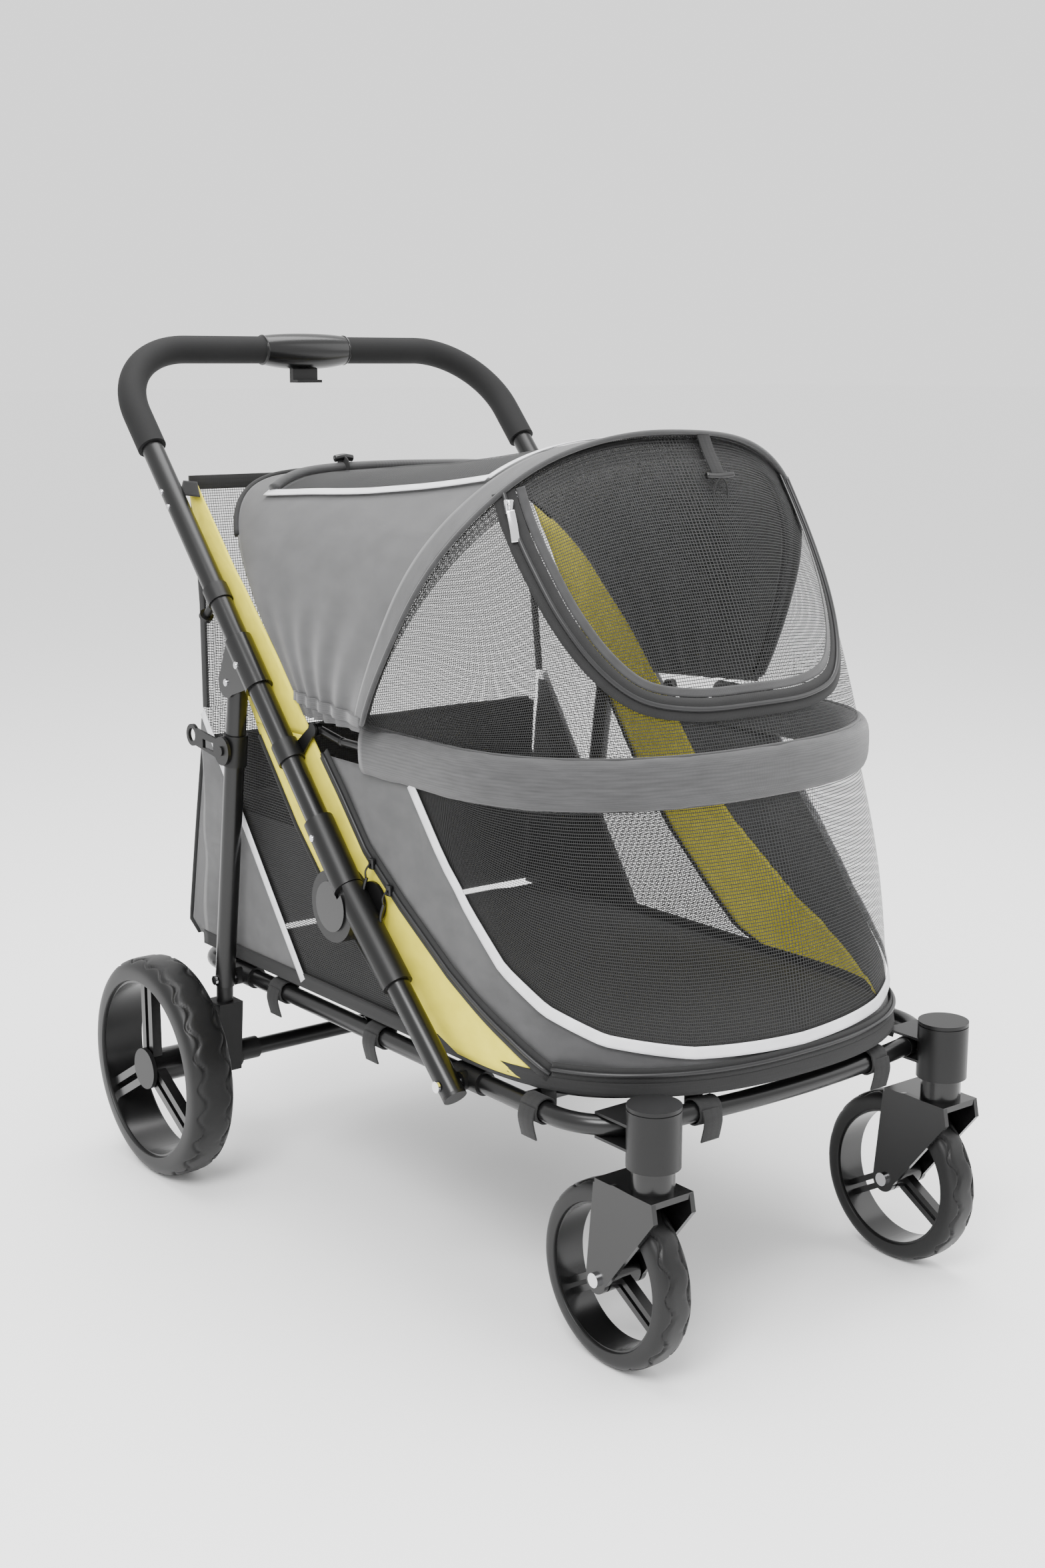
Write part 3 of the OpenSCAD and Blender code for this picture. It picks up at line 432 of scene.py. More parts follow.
def base_material(name, roughness, metallic=0.0):
    m = bpy.data.materials.new(name)
    m.use_nodes = True
    tree = m.node_tree
    shader = tree.nodes["Principled BSDF"]
    shader.inputs["Roughness"].default_value = roughness
    shader.inputs["Metallic"].default_value = metallic
    return m, tree, shader


def use_group(tree, key):
    n = tree.nodes.new("ShaderNodeGroup")
    n.node_tree = GROUPS[key]
    return n


def bump(tree, shader, height, strength, distance):
    n = tree.nodes.new("ShaderNodeBump")
    n.inputs["Strength"].default_value = strength
    n.inputs["Distance"].default_value = distance
    tree.links.new(height, n.inputs["Height"])
    tree.links.new(n.outputs["Normal"], shader.inputs["Normal"])


def two_tone(tree, shader, factor, dark, light, low=0.3, high=0.9):
    ramp = tree.nodes.new("ShaderNodeValToRGB")
    ramp.color_ramp.elements[0].position = low
    ramp.color_ramp.elements[0].color = (*dark, 1)
    ramp.color_ramp.elements[1].position = high
    ramp.color_ramp.elements[1].color = (*light, 1)
    tree.links.new(factor, ramp.inputs["Fac"])
    tree.links.new(ramp.outputs["Color"], shader.inputs["Base Color"])


def cloth_material(name, dark, light, threads=1100.0, sheen=0.25, rough=0.85):
    m, tree, shader = base_material(name, rough)
    weave = use_group(tree, "weave")
    weave.inputs["Threads"].default_value = threads
    two_tone(tree, shader, weave.outputs["Shade"], dark, light)
    shader.inputs["Sheen Weight"].default_value = sheen
    bump(tree, shader, weave.outputs["Height"], 0.35, 0.0004)
    return m


def mesh_material(name, colour, pitch, opening):
    m, tree, shader = base_material(name, 0.7)
    net = use_group(tree, "mesh")
    net.inputs["Pitch"].default_value = pitch
    net.inputs["Open"].default_value = opening
    grain = use_group(tree, "grain")
    two_tone(tree, shader, grain.outputs["Rub"], colour, tuple(1.6 * c for c in colour))
    tree.links.new(net.outputs["Cover"], shader.inputs["Alpha"])
    return m


def moulded_material(name, dark, light, rough, strength=0.25, grain=1400.0, coat=0.0):
    m, tree, shader = base_material(name, rough)
    g = use_group(tree, "grain")
    g.inputs["Grain"].default_value = grain
    two_tone(tree, shader, g.outputs["Rub"], dark, light)
    shader.inputs["Coat Weight"].default_value = coat
    shader.inputs["Specular IOR Level"].default_value = 0.3
    shader.inputs["Coat Roughness"].default_value = 0.25
    bump(tree, shader, g.outputs["Height"], strength, 0.0003)
    return m


def metal_material(name, colour, rough):
    m, tree, shader = base_material(name, rough, 1.0)
    g = use_group(tree, "grain")
    g.inputs["Grain"].default_value = 300
    two_tone(tree, shader, g.outputs["Rub"], tuple(0.8 * c for c in colour), colour)
    return m


def tone(v):
    return (v, v, v * 1.03)


MAT = {
    "tube": moulded_material("Powder-coated tube", tone(0.003), tone(0.006), 0.28, 0.12, 1800, 0.15),
    "moulding": moulded_material("Textured moulding", tone(0.0035), tone(0.007), 0.4, 0.3, 1500),
    "gloss": moulded_material("Smooth moulding", tone(0.003), tone(0.006), 0.24, 0.06, 900, 0.25),
    "foam": moulded_material("Grip foam", tone(0.005), tone(0.009), 0.8, 0.7, 1100),
    "tread": moulded_material("Foam tyre", tone(0.004), tone(0.008), 0.42, 0.3, 700),
    "chrome": metal_material("Bright fastener", (0.8, 0.8, 0.82), 0.16),
    "sheet": moulded_material("Painted sheet", tone(0.005), tone(0.009), 0.38, 0.1, 1600),
    "grey": cloth_material("Charcoal cloth", tone(0.03), tone(0.058)),
    "dark_grey": cloth_material("Dark binding", tone(0.018), tone(0.034)),
    "yellow": cloth_material("Yellow cloth", (0.62, 0.54, 0.03), (0.8, 0.7, 0.06), 900, 0.0),
    "black": cloth_material("Black webbing", tone(0.004), tone(0.009), 700, 0.05),
    "silver": cloth_material("Reflective tape", tone(0.6), tone(0.8), 1600, 0.0, 0.45),
    "white": cloth_material("White lining", tone(0.6), tone(0.75), 1200, 0.1),
    "net": mesh_material("Light mesh", tone(0.008), 0.0034, 0.76),
    "dense": mesh_material("Close mesh", tone(0.006), 0.0026, 0.55),
    "coil": moulded_material("Zip coil", tone(0.012), tone(0.03), 0.35, 0.1, 900),
    "pad": cloth_material("Cushion cover", tone(0.008), tone(0.014), 800, 0.05),
}


def dress(obj, key):
    obj.data.materials.clear()
    obj.data.materials.append(MAT[key])
    return obj


CAD_LOOKS = {
    "tube": ["base_frame_tube", "floor_cross_tubes", "left_lower_tube", "right_lower_tube",
        "push_handle_tube", "left_rear_leg", "right_rear_leg", "rear_cross_tube", "front_rail",
        "canopy_bow"],
    "chrome": ["base_bolts", "frame_rivets", "rear_axles", "left_castor_axle", "right_castor_axle"],
    "foam": ["foam_grips"],
    "sheet": ["castor_brackets", "floor_board"],
    "gloss": ["handle_housing_top", "handle_housing_bottom", "hinge_covers", "collars",
        "left_castor_fork", "right_castor_fork", "left_rear_rim", "right_rear_rim",
        "left_castor_rim", "right_castor_rim"],
}


def dress_cad():
    looks = {n: key for key, names in CAD_LOOKS.items() for n in names}
    for name, obj in frame["nodes"].items():
        dress(obj, looks.get(name, "moulding"))


# ---------- placing pieces on bodies ----------


def low(piece, slot):
    """A piece below the waist, its place baked into its mesh."""
    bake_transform(piece)
    return piece


def high(piece, slot):
    """A piece above the waist: it goes with the canopy, on a mesh of its own."""
    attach(piece, "cabin_top")
    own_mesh(piece)
    return piece


def sewn(piece):
    """Hands the cloth piece back as it is."""
    return piece


# ---------- cloth below the waist ----------


def band_top_p(z):
    return skin_p(along_table(BAND_FRONT, z), z)


def tape_z(p):
    """Height of the reflective line that bounds the front window."""
    return along_table([(0.0, 0.33), (0.3, 0.336), (0.55, 0.352), (0.72, 0.378), (0.85, 0.415),
        (0.95, 0.47), (1.03, 0.53), (1.1, 0.592)], abs(p))


TAPE_END = 1.1
FRONT_TOP = 0.597


def front_low_z(p):
    """The front panel's lower edge: the hem in front, the band's slope at the sides."""
    for k in range(61):
        z = lerp(HEM_Z, FRONT_TOP, k / 60)
        if band_top_p(z) >= abs(p):
            return z
    return FRONT_TOP


def rumple(p, z, size):
    return size * noise.noise(Vector((p * 5.5, z * 16, 3.1)))


def front_panel_piece():
    reach = band_top_p(FRONT_TOP)

    def place(u, v):
        p = lerp(-reach, reach, u)
        top = tape_z(p) if abs(p) < TAPE_END else FRONT_TOP
        bottom = min(front_low_z(p), top - 0.001)
        z = lerp(bottom, top, v)
        return lifted(skin, p, z, 0.002 + rumple(p, z, 0.004) * math.sin(math.pi * v))

    piece = sheet_grid("front_panel_cloth", 150, 14, place, (1.5, 0.2))
    thicken(piece, 0.0012)
    low(dress(piece, "grey"), "cloth")
    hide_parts("front_panel")
    sewn(piece)


def front_window_piece():
    def place(u, v):
        p = lerp(-TAPE_END, TAPE_END, u)
        z = lerp(tape_z(p) - 0.008, FRONT_TOP, v)
        return lifted(skin, p, z, 0.003 + 0.008 * math.sin(math.pi * v) * (1 - (p / TAPE_END) ** 4))

    piece = sheet_grid("front_window_mesh", 110, 20, place, (1.25, 0.26))
    sewn(low(dress(piece, "net"), "mesh"))


def ribbon(name, path, normals, width, lift=0.001, thick=0.0012):
    """A flat tape along a line of surface points."""
    n = len(path) - 1

    def place(u, v):
        i = round(u * n)
        tangent = (path[min(i + 1, n)] - path[max(i - 1, 0)]).normalized()
        side = normals[i].cross(tangent).normalized()
        return path[i] + normals[i] * lift + side * (v - 0.5) * width

    piece = sheet_grid(name, n, 4, place, (length_of(path), width))
    return thicken(piece, thick)


def on_surface(surface, pairs, lift):
    points = []
    normals = []
    for a, b in pairs:
        p = lifted(surface, a, b, lift)
        q = lifted(surface, a, b, lift + 0.01)
        points.append(p)
        normals.append((q - p).normalized())
    return points, normals


def tape_pieces():
    pairs = [(lerp(-TAPE_END, TAPE_END, k / 90), 0) for k in range(91)]
    pairs = [(p, tape_z(p)) for p, _ in pairs]
    points, normals = on_surface(skin, pairs, 0.006)
    low(dress(ribbon("front_reflective_tape", points, normals, 0.013), "silver"), "cloth")
    for side in (-1, 1):
        pairs = [(lerp(0.2, 0.42, k / 30), lerp(0.302, 0.61, k / 30)) for k in range(31)]
        pairs = [(side * skin_p(y, z), z) for y, z in pairs]
        points, normals = on_surface(skin, pairs, 0.005)
        name = "side_reflective_tape_" + ("left" if side > 0 else "right")
        low(dress(ribbon(name, points, normals, 0.012), "silver"), "cloth")


def band_pieces():
    """The yellow bands, each in two lengths that meet at the waist."""
    for side in (-1, 1):
        word = "left" if side > 0 else "right"

        def lower(u, v):
            z = lerp(HEM_Z, WAIST, u)
            y = lerp(along_table(BAND_FRONT, z), along_table(BAND_REAR, z), v)
            return lifted(skin, side * skin_p(y, z), z, 0.004 + 0.003 * math.sin(math.pi * v))

        piece = thicken(sheet_grid("yellow_band_low_" + word, 40, 12, lower, (0.45, 0.17)), 0.0012)
        sewn(low(dress(piece, "yellow"), "cloth"))

        def upper(u, v):
            z = lerp(WAIST, 0.902, u)
            y = lerp(along_table(BAND_FRONT, z), along_table(BAND_REAR, z), v)
            x = lerp(0.2775, 0.268, max(0.0, (z - 0.8) / 0.1))
            return at(side * x, y, z) + Vector((side * 0.003 * math.sin(math.pi * v), 0, 0))

        piece = thicken(sheet_grid("yellow_band_high_" + word, 40, 12, upper, (0.45, 0.12)), 0.0012)
        sewn(high(dress(piece, "yellow"), "cloth"))


def side_cloth_pieces():
    """Behind the bands: open mesh above, close mesh and a grey corner panel below."""
    for side in (-1, 1):
        word = "left" if side > 0 else "right"

        def lower(u, v):
            z = lerp(HEM_Z, NET_Z, u)
            y = lerp(along_table(BAND_REAR, z) - 0.01, rear_y(z), v)
            return lifted(skin, side * skin_p(y, z), z, 0.0015)

        piece = sheet_grid("side_mesh_low_" + word, 30, 24, lower, (0.2, 0.28))
        net = sewn(low(dress(piece, "dense"), "mesh"))
        if side < 0:
            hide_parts("side_panels")

        def middle(u, v):
            z = lerp(NET_Z, WAIST, u)
            y = lerp(along_table(BAND_REAR, z) - 0.01, rear_y(z), v)
            return lifted(skin, side * skin_p(y, z), z, 0.0015)

        piece = sheet_grid("side_mesh_middle_" + word, 16, 20, middle, (0.12, 0.2))
        sewn(low(dress(piece, "net"), "mesh"))

        def corner(u, v):
            z = lerp(HEM_Z, 0.6, u)
            start = lerp(0.2, 0.42, (z - 0.302) / 0.306)
            y = lerp(start, rear_y(z) + 0.002, v)
            return lifted(skin, side * skin_p(y, z), z, 0.003 + rumple(y * 2, z, 0.004) * v)

        piece = thicken(sheet_grid("side_corner_panel_" + word, 30, 20, corner, (0.3, 0.25)), 0.0012)
        sewn(low(dress(piece, "grey"), "cloth"))

        def upper(u, v):
            z = lerp(WAIST, 0.9, u)
            y = lerp(along_table(BAND_REAR, z) - 0.008, rear_y(z), v)
            return at(side * lerp(0.274, 0.262, u), y, z)

        piece = sheet_grid("side_mesh_high_" + word, 30, 20, upper, (0.29, 0.16))
        sewn(high(dress(piece, "net"), "mesh"))


def hem_pieces():
    """Black binding round the foot of the cabin, with the zip's coil along its front."""
    pairs = [(lerp(-2.22, 2.22, k / 160), 0.302) for k in range(161)]
    points, normals = on_surface(skin, pairs, 0.004)
    low(dress(ribbon("hem_binding", points, normals, 0.018, 0.001, 0.003), "black"), "webbing")
    reach = band_top_p(0.3)
    pairs = [(lerp(-reach, reach, k / 90), 0.316) for k in range(91)]
    points, normals = on_surface(skin, pairs, 0.0065)
    low(dress(ribbon("front_zip_tape", points, normals, 0.016, 0.0, 0.0015), "black"), "webbing")
    path = [p + n * 0.002 for p, n in zip(points, normals)]
    coil = sweep("front_zip_coil", path, round_profile(0.0026, 8))
    low(dress(coil, "coil"), "webbing")


def side_zip_pieces():
    for side in (-1, 1):
        word = "left" if side > 0 else "right"
        heights = [lerp(0.31, 0.6, k / 50) for k in range(51)]
        pairs = [(side * skin_p(along_table(BAND_FRONT, z) - 0.012, z), z) for z in heights]
        points, normals = on_surface(skin, pairs, 0.006)
        tape = ribbon("side_zip_tape_" + word, points, normals, 0.02, 0.0, 0.0015)
        low(dress(tape, "black"), "webbing")
        path = [p + n * 0.002 for p, n in zip(points, normals)]
        coil = sweep("side_zip_coil_" + word, path, round_profile(0.0026, 8))
        low(dress(coil, "coil"), "webbing")
        rear = [(side * skin_p(along_table(BAND_REAR, z), z), z) for z in heights]
        points, normals = on_surface(skin, rear, 0.005)
        piping = sweep("band_piping_" + word, points, round_profile(0.0028, 8))
        low(dress(piping, "black"), "webbing")
        for k, z in enumerate((0.487, 0.462)):
            spot = lifted(skin, side * skin_p(along_table(BAND_FRONT, z) - 0.012, z), z, 0.011)
            low(dress(zip_slider("side_zip_slider_%s_%d" % (word, k + 1), spot, side), "gloss"),
                "webbing")


def zip_slider(name, spot, side):
    """A slider body with a loop and a knotted cord pull."""
    deselect()
    bpy.ops.mesh.primitive_cube_add(size=1, location=spot)
    body = bpy.context.object
    for v in body.data.vertices:
        v.co = Vector((v.co.x * 0.006, v.co.y * 0.009, v.co.z * 0.013))
    bpy.ops.object.transform_apply(location=True, rotation=True, scale=True)
    apply_modifier(body, "BEVEL", width=0.0016, segments=3)
    out = Vector((side * 0.004, 0, 0))
    loop = cord("loop", [spot + out, spot + out + Vector((side * 0.004, 0.002, -0.008)),
        spot + out + Vector((side * 0.002, 0.004, -0.018))], 0.0012, 16, 8)
    pull = cord("pull", [spot + out + Vector((side * 0.002, 0.003, -0.016)),
        spot + out + Vector((side * 0.005, 0.006, -0.034)),
        spot + out + Vector((side * 0.003, 0.002, -0.05))], 0.0022, 20, 8)
    return joined(name, [body, loop, pull])


def rear_pieces():
    """The rear wall, with a deep pocket that bellies out towards the floor."""
    def wall(u, v):
        x = lerp(-0.27, 0.27, u)
        z = lerp(HEM_Z, NET_Z, v)
        return at(x, rear_y(z) + rumple(x * 2, z, 0.004), z)

    piece = thicken(sheet_grid("rear_wall_cloth", 40, 24, wall, (0.54, 0.2)), 0.0012)
    sewn(low(dress(piece, "dark_grey"), "cloth"))
    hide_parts("rear_panel")

    def net(u, v):
        z = lerp(NET_Z, WAIST, v)
        return at(lerp(-0.271, 0.271, u), rear_y(z), z)

    sewn(low(dress(sheet_grid("rear_wall_mesh_low", 40, 10, net, (0.54, 0.12)), "net"), "mesh"))

    def pocket(u, v):
        x = lerp(-0.266, 0.266, u)
        z = lerp(HEM_Z + 0.006, 0.57, v)
        edge = min(1.0, 12 * min(u, 1 - u)) ** 0.5
        deep = 0.012 + 0.062 * (1 - v) ** 0.8 * lerp(0.55, 1.0, edge) * min(1.0, v * 14 + 0.35)
        return at(x, rear_y(z) + deep + rumple(x * 3, z, 0.006) * edge, z)

    piece = thicken(sheet_grid("rear_pocket_cloth", 60, 24, pocket, (0.5, 0.28)), 0.0014)
    sewn(low(dress(piece, "grey"), "cloth"))
    for u, side in ((0.0, -1), (1.0, 1)):
        word = "left" if side > 0 else "right"

        def gusset(a, b):
            foot = pocket(u, b)
            z = foot.z
            return at(side * 0.268, rear_y(z), z).lerp(foot, a)

        piece = thicken(sheet_grid("rear_pocket_gusset_" + word, 6, 24, gusset, (0.08, 0.28)), 0.0012)
        sewn(low(dress(piece, "grey"), "cloth"))
    rim = [pocket(0.0, 1 - k / 20) for k in range(20)]
    rim += [pocket(k / 30, 0.0) for k in range(31)]
    rim += [pocket(1.0, k / 20) for k in range(1, 21)]
    low(dress(sweep("rear_pocket_binding", rim, round_profile(0.004, 8)), "black"), "webbing")
    top = [pocket(k / 30, 1.0) for k in range(31)]
    low(dress(sweep("rear_pocket_elastic", top, round_profile(0.005, 8)), "black"), "webbing")


def rear_upper_piece():
    def wall(u, v):
        x = lerp(-0.27, 0.27, u) * lerp(1, 0.97, v)
        z = lerp(WAIST, 0.9, v)
        return at(x, rear_y(z), z)

    piece = sheet_grid("rear_wall_mesh", 30, 20, wall, (0.54, 0.29))
    sewn(high(dress(piece, "net"), "mesh"))
    path = [at(lerp(-0.264, 0.264, k / 20), rear_y(0.9), 0.9) for k in range(21)]
    high(dress(sweep("rear_top_binding", path, box_profile(0.004, 0.018)), "black"), "webbing")
    for side in (-1, 1):
        word = "left" if side > 0 else "right"
        heights = [lerp(WAIST, 0.9, k / 30) for k in range(31)]
        path = [at(side * lerp(0.273, 0.262, k / 30), rear_y(z) - 0.004, z)
            for k, z in enumerate(heights)]
        edge = sweep("rear_corner_binding_" + word, path, box_profile(0.012, 0.004))
        high(dress(edge, "black"), "webbing")

        def corner(u, v):
            z = lerp(0.885, 0.903, v)
            y = lerp(along_table(BAND_FRONT, z) - 0.01, rear_y(z), u)
            return at(side * lerp(0.279, 0.272, v), y, z)

        piece = thicken(sheet_grid("rear_corner_patch_" + word, 10, 8, corner, (0.1, 0.06)), 0.0012)
        sewn(high(dress(piece, "black"), "cloth"))


def floor_shade_cloth_piece():
    """The cloth under the cushion, out to the walls, that closes the cabin's foot; its black is painted
    shade for the gap between the cushion and the walls.
    """
    def place(u, v):
        p = lerp(0.0, 2.14, v)
        z = 0.3
        side = lerp(-1, 1, u)
        edge = skin(p, z)
        y = min(edge.y, at(0, rear_y(z), 0).y)
        return Vector((edge.x * side, y, z))

    piece = thicken(sheet_grid("floor_shade_cloth", 24, 80, place, (0.53, 0.85)), 0.0012)
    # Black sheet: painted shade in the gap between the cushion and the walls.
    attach(dress(piece, "black"), "base")
    sewn(piece)


def cushion_piece():
    """A quilted cushion over the floor, its edge rounded and piped."""
    lo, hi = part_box("floor_mat")
    mid_x = (lo.x + hi.x) / 2
    half = (hi.x - lo.x) / 2 - 0.003

    def outline(turn):
        c = math.cos(turn)
        s = math.sin(turn)
        e = 2 / 7
        x = half * math.copysign(abs(c) ** e, c)
        y = (hi.y - lo.y) / 2 * math.copysign(abs(s) ** e, s)
        return mid_x + x, (lo.y + hi.y) / 2 + y * 0.985

    def face(sign):
        def place(u, v):
            x, y = outline(2 * math.pi * u)
            cx, cy = mid_x, (lo.y + hi.y) / 2
            px = lerp(cx, x, v)
            py = lerp(cy, y, v)
            edge = max(0.0, 1 - v ** 14) ** 0.5
            quilt = 0.002 * math.sin(px * 26) ** 2 * math.sin(py * 26) ** 2
            z = (lo.z + hi.z) / 2 + sign * edge * ((hi.z - lo.z) / 2 - 0.001) + (
                quilt * edge if sign > 0 else 0)
            return Vector((px, py, z))
        return sheet_grid("face", 120, 30, place, (1.6, 0.4))

    piece = seal(joined("floor_cushion", [face(1), face(-1)]))
    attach(dress(piece, "pad"), "base")
    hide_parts("floor_mat")


def padded_band_piece():
    """The padded sleeve on the front rail: a soft band with a stitched hem above it."""
    reach = 1.29
    count = 140
    path = [rail_point(lerp(-reach, reach, k / count), 0.616) for k in range(count + 1)]
    profile = []
    for k in range(20):
        a = 2 * math.pi * k / 20
        c = math.cos(a)
        s = math.sin(a)
        profile.append((0.0125 * math.copysign(abs(c) ** 0.7, c), 0.028 * math.copysign(abs(s) ** 0.75, s)))
    piece = sweep("rail_sleeve_band", path, profile, up=lambda i: Vector((0, 0, 1)))
    for v in piece.data.vertices:
        v.co += Vector((0, 0, 0.0012)) * noise.noise(v.co * 40)
    high(dress(piece, "grey"), "cloth")
    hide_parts("rail_sleeve")
    for z, name in ((0.6435, "sleeve_top_piping"), (0.589, "sleeve_foot_piping")):
        line = [rail_point(lerp(-reach, reach, k / count), z) for k in range(count + 1)]
        high(dress(sweep(name, line, round_profile(0.0022, 8)), "dark_grey"), "webbing")


# ---------- the canopy ----------


def hood_pieces():
    def cloth(u, v):
        return hood(u, v * 0.995 + 0.002)

    piece = thicken(sheet_grid("canopy_cloth", 120, 60, cloth, (1.25, 0.45)), 0.0012)
    sewn(high(dress(piece, "grey"), "cloth"))
    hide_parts("canopy_hood")

    def band(u, v):
        return lifted(hood, lerp(0.004, 0.996, u), lerp(-0.012, 0.085, v), 0.0025)

    piece = thicken(sheet_grid("canopy_arch_binding", 120, 6, band, (1.25, 0.03)), 0.0016)
    high(dress(piece, "grey"), "cloth")
    edge = [lifted(hood, lerp(0.004, 0.996, k / 120), -0.012, 0.002) for k in range(121)]
    high(dress(sweep("canopy_arch_piping", edge, round_profile(0.003, 8)), "dark_grey"), "webbing")

    def lining(u, v):
        a = lerp(0.004, 0.996, u)
        return screen(a, lerp(0.0, 0.075, v)) + (at(0, 0.1, 0.6) - screen(a, 0)).normalized() * 0.002

    high(dress(sheet_grid("canopy_arch_mesh_border", 120, 4, lining, (1.25, 0.03)), "dense"), "mesh")
    for side in (0, 1):
        word = "left" if side else "right"
        a = 0.995 if side else 0.005
        hem = [lifted(hood, a, lerp(0.0, 0.98, k / 40), 0.002) for k in range(41)]
        high(dress(sweep("canopy_hem_" + word, hem, box_profile(0.004, 0.012),
            up=lambda i: Vector((0, 0, 1))), "grey"), "cloth")
    back = [hood_rear(lerp(0.2, 0.8, k / 60)) + Vector((0, 0, 0.002)) for k in range(61)]
    high(dress(sweep("canopy_rear_piping", back, round_profile(0.0035, 8)), "black"), "webbing")


def bow_piece():
    """The spring rod that holds the arch, in the cloth's front edge."""
    path = []
    for k in range(121):
        a = lerp(0.004, 0.996, k / 120)
        path.append(lifted(hood, a, 0.03, -0.006))
    high(dress(sweep("canopy_spring_rod", path, round_profile(0.004, 10)), "tube"), "tube")
    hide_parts("canopy_bow")


def roof_window_pieces():
    """A mesh window in the roof with reflective edges and its cover rolled up at the rear."""
    def window(u, v):
        return lifted(hood, lerp(0.33, 0.67, u), lerp(0.14, 0.86, v), 0.0025)

    piece = sheet_grid("roof_window_mesh", 40, 20, window, (0.4, 0.38))
    sewn(high(dress(piece, "dense"), "mesh"))
    for name, a0, a1, b0, b1 in (("roof_tape_left", 0.68, 0.68, 0.1, 0.9),
            ("roof_tape_right", 0.32, 0.32, 0.1, 0.9), ("roof_tape_front", 0.32, 0.68, 0.1, 0.1)):
        pairs = [(lerp(a0, a1, k / 40), lerp(b0, b1, k / 40)) for k in range(41)]
        points, normals = on_surface(hood, pairs, 0.004)
        high(dress(ribbon(name, points, normals, 0.012), "silver"), "cloth")
    roll = [lifted(hood, lerp(0.33, 0.67, k / 50), 0.88, 0.007) for k in range(51)]
    piece = sweep("roof_cover_roll", roll, round_profile(0.007, 14, 0.8))
    high(dress(piece, "dark_grey"), "cloth")
    spot = lifted(hood, 0.47, 0.88, 0.0075)
    ring = [spot + Vector((0, 0.0085 * math.cos(t), 0.0075 * math.sin(t)))
        for t in (2 * math.pi * i / 24 for i in range(25))]
    tie = sweep("roof_roll_tie_1", ring, box_profile(0.012, 0.002), close=True)
    high(dress(tie, "black"), "webbing")
    toggle = cord("roof_toggle_1", [spot + Vector((-0.013, 0, 0.010)),
        spot + Vector((0, 0, 0.012)), spot + Vector((0.013, 0, 0.010))], 0.0045, 16, 10)
    high(dress(toggle, "gloss"), "webbing")


def arch_strap_pieces():
    """A short strap, toggle and loop that hang from the arch to hold the window's roll."""
    top = lifted(screen, 0.53, 0.01, 0.004)
    line = [top + Vector((0, -0.002, 0.004)), lifted(screen, 0.53, 0.06, 0.006),
        lifted(screen, 0.53, 0.14, 0.007)]
    path = smooth_path(line, 20)
    strap = sweep("arch_strap", path, box_profile(0.018, 0.002), up=lambda i: Vector((0, -1, 0.3)))
    high(dress(strap, "black"), "webbing")
    spot = line[-1] + Vector((0, -0.003, -0.002))
    bar = cord("arch_toggle", [spot + Vector((-0.02, 0, 0.001)), spot, spot + Vector((0.02, 0, 0.001))],
        0.0035, 16, 10)
    high(dress(bar, "gloss"), "webbing")
    ring = [spot + Vector((0.011 * math.sin(t), -0.002, -0.022 + 0.02 * math.cos(t)))
        for t in (2 * math.pi * i / 36 for i in range(37))]
    loop = sweep("arch_loop", ring, round_profile(0.0012, 8), close=True)
    high(dress(loop, "black"), "webbing")


def screen_pieces():
    def net(u, v):
        return screen(lerp(0.002, 0.998, u), v)

    piece = sheet_grid("front_screen_mesh", 120, 50, net, (1.3, 0.34))
    sewn(high(dress(piece, "net"), "mesh"))
    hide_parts("front_screen")


# The front window's zip: how far round the arch, and how far down the screen.
WINDOW_LINE = [(0.29, 0.004), (0.289, 0.14), (0.295, 0.3), (0.31, 0.5), (0.338, 0.68), (0.378, 0.8),
    (0.435, 0.848), (0.5, 0.856), (0.565, 0.848), (0.622, 0.8), (0.662, 0.68), (0.69, 0.5),
    (0.705, 0.3), (0.711, 0.14), (0.71, 0.004)]


def window_zip_pieces():
    flat = smooth_path([Vector((a, 0, b)) for a, b in WINDOW_LINE], 110)
    points, normals = on_surface(screen, [(p.x, p.z) for p in flat], 0.003)
    high(dress(ribbon("window_zip_tape", points, normals, 0.026, 0.0, 0.0012), "black"), "webbing")
    path = [p + n * 0.0022 for p, n in zip(points, normals)]
    high(dress(sweep("window_zip_coil", path, round_profile(0.003, 8)), "coil"), "webbing")
    inside = []
    for i, (p, n) in enumerate(zip(points, normals)):
        tangent = (points[min(i + 1, 110)] - points[max(i - 1, 0)]).normalized()
        inside.append(p - n.cross(tangent).normalized() * -0.019)
    high(dress(ribbon("window_border", inside, normals, 0.010, -0.001, 0.0008), "dark_grey"), "mesh")


def window_slider_piece():
    spot = lifted(screen, 0.29, 0.07, 0.009)
    turn = Vector((-0.5, -0.8, 0.25)).normalized()
    deselect()
    bpy.ops.mesh.primitive_cube_add(size=1)
    body = bpy.context.object
    for v in body.data.vertices:
        wide = 0.011 if v.co.z > 0 else 0.008
        v.co = spot + Vector((v.co.x * wide, v.co.y * 0.006, v.co.z * 0.016))
    apply_modifier(body, "BEVEL", width=0.0018, segments=3)
    hook = cord("hook", [spot + turn * 0.003 + Vector((0, 0, 0.006)), spot + turn * 0.008,
        spot + turn * 0.004 + Vector((0, -0.001, -0.007))], 0.0014, 16, 8)
    tag_path = [spot + turn * 0.007 + Vector((0, -0.002, -0.005)),
        spot + turn * 0.009 + Vector((0.001, -0.006, -0.022)),
        spot + turn * 0.008 + Vector((0.001, -0.010, -0.038))]
    tag = sweep("tag", smooth_path(tag_path, 16), box_profile(0.009, 0.0016), up=lambda i: turn)
    piece = joined("window_zip_slider", [body, hook, tag])
    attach(dress(piece, "chrome"), "slider")
    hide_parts("window_slider")


# ---------- webbing on the frame ----------


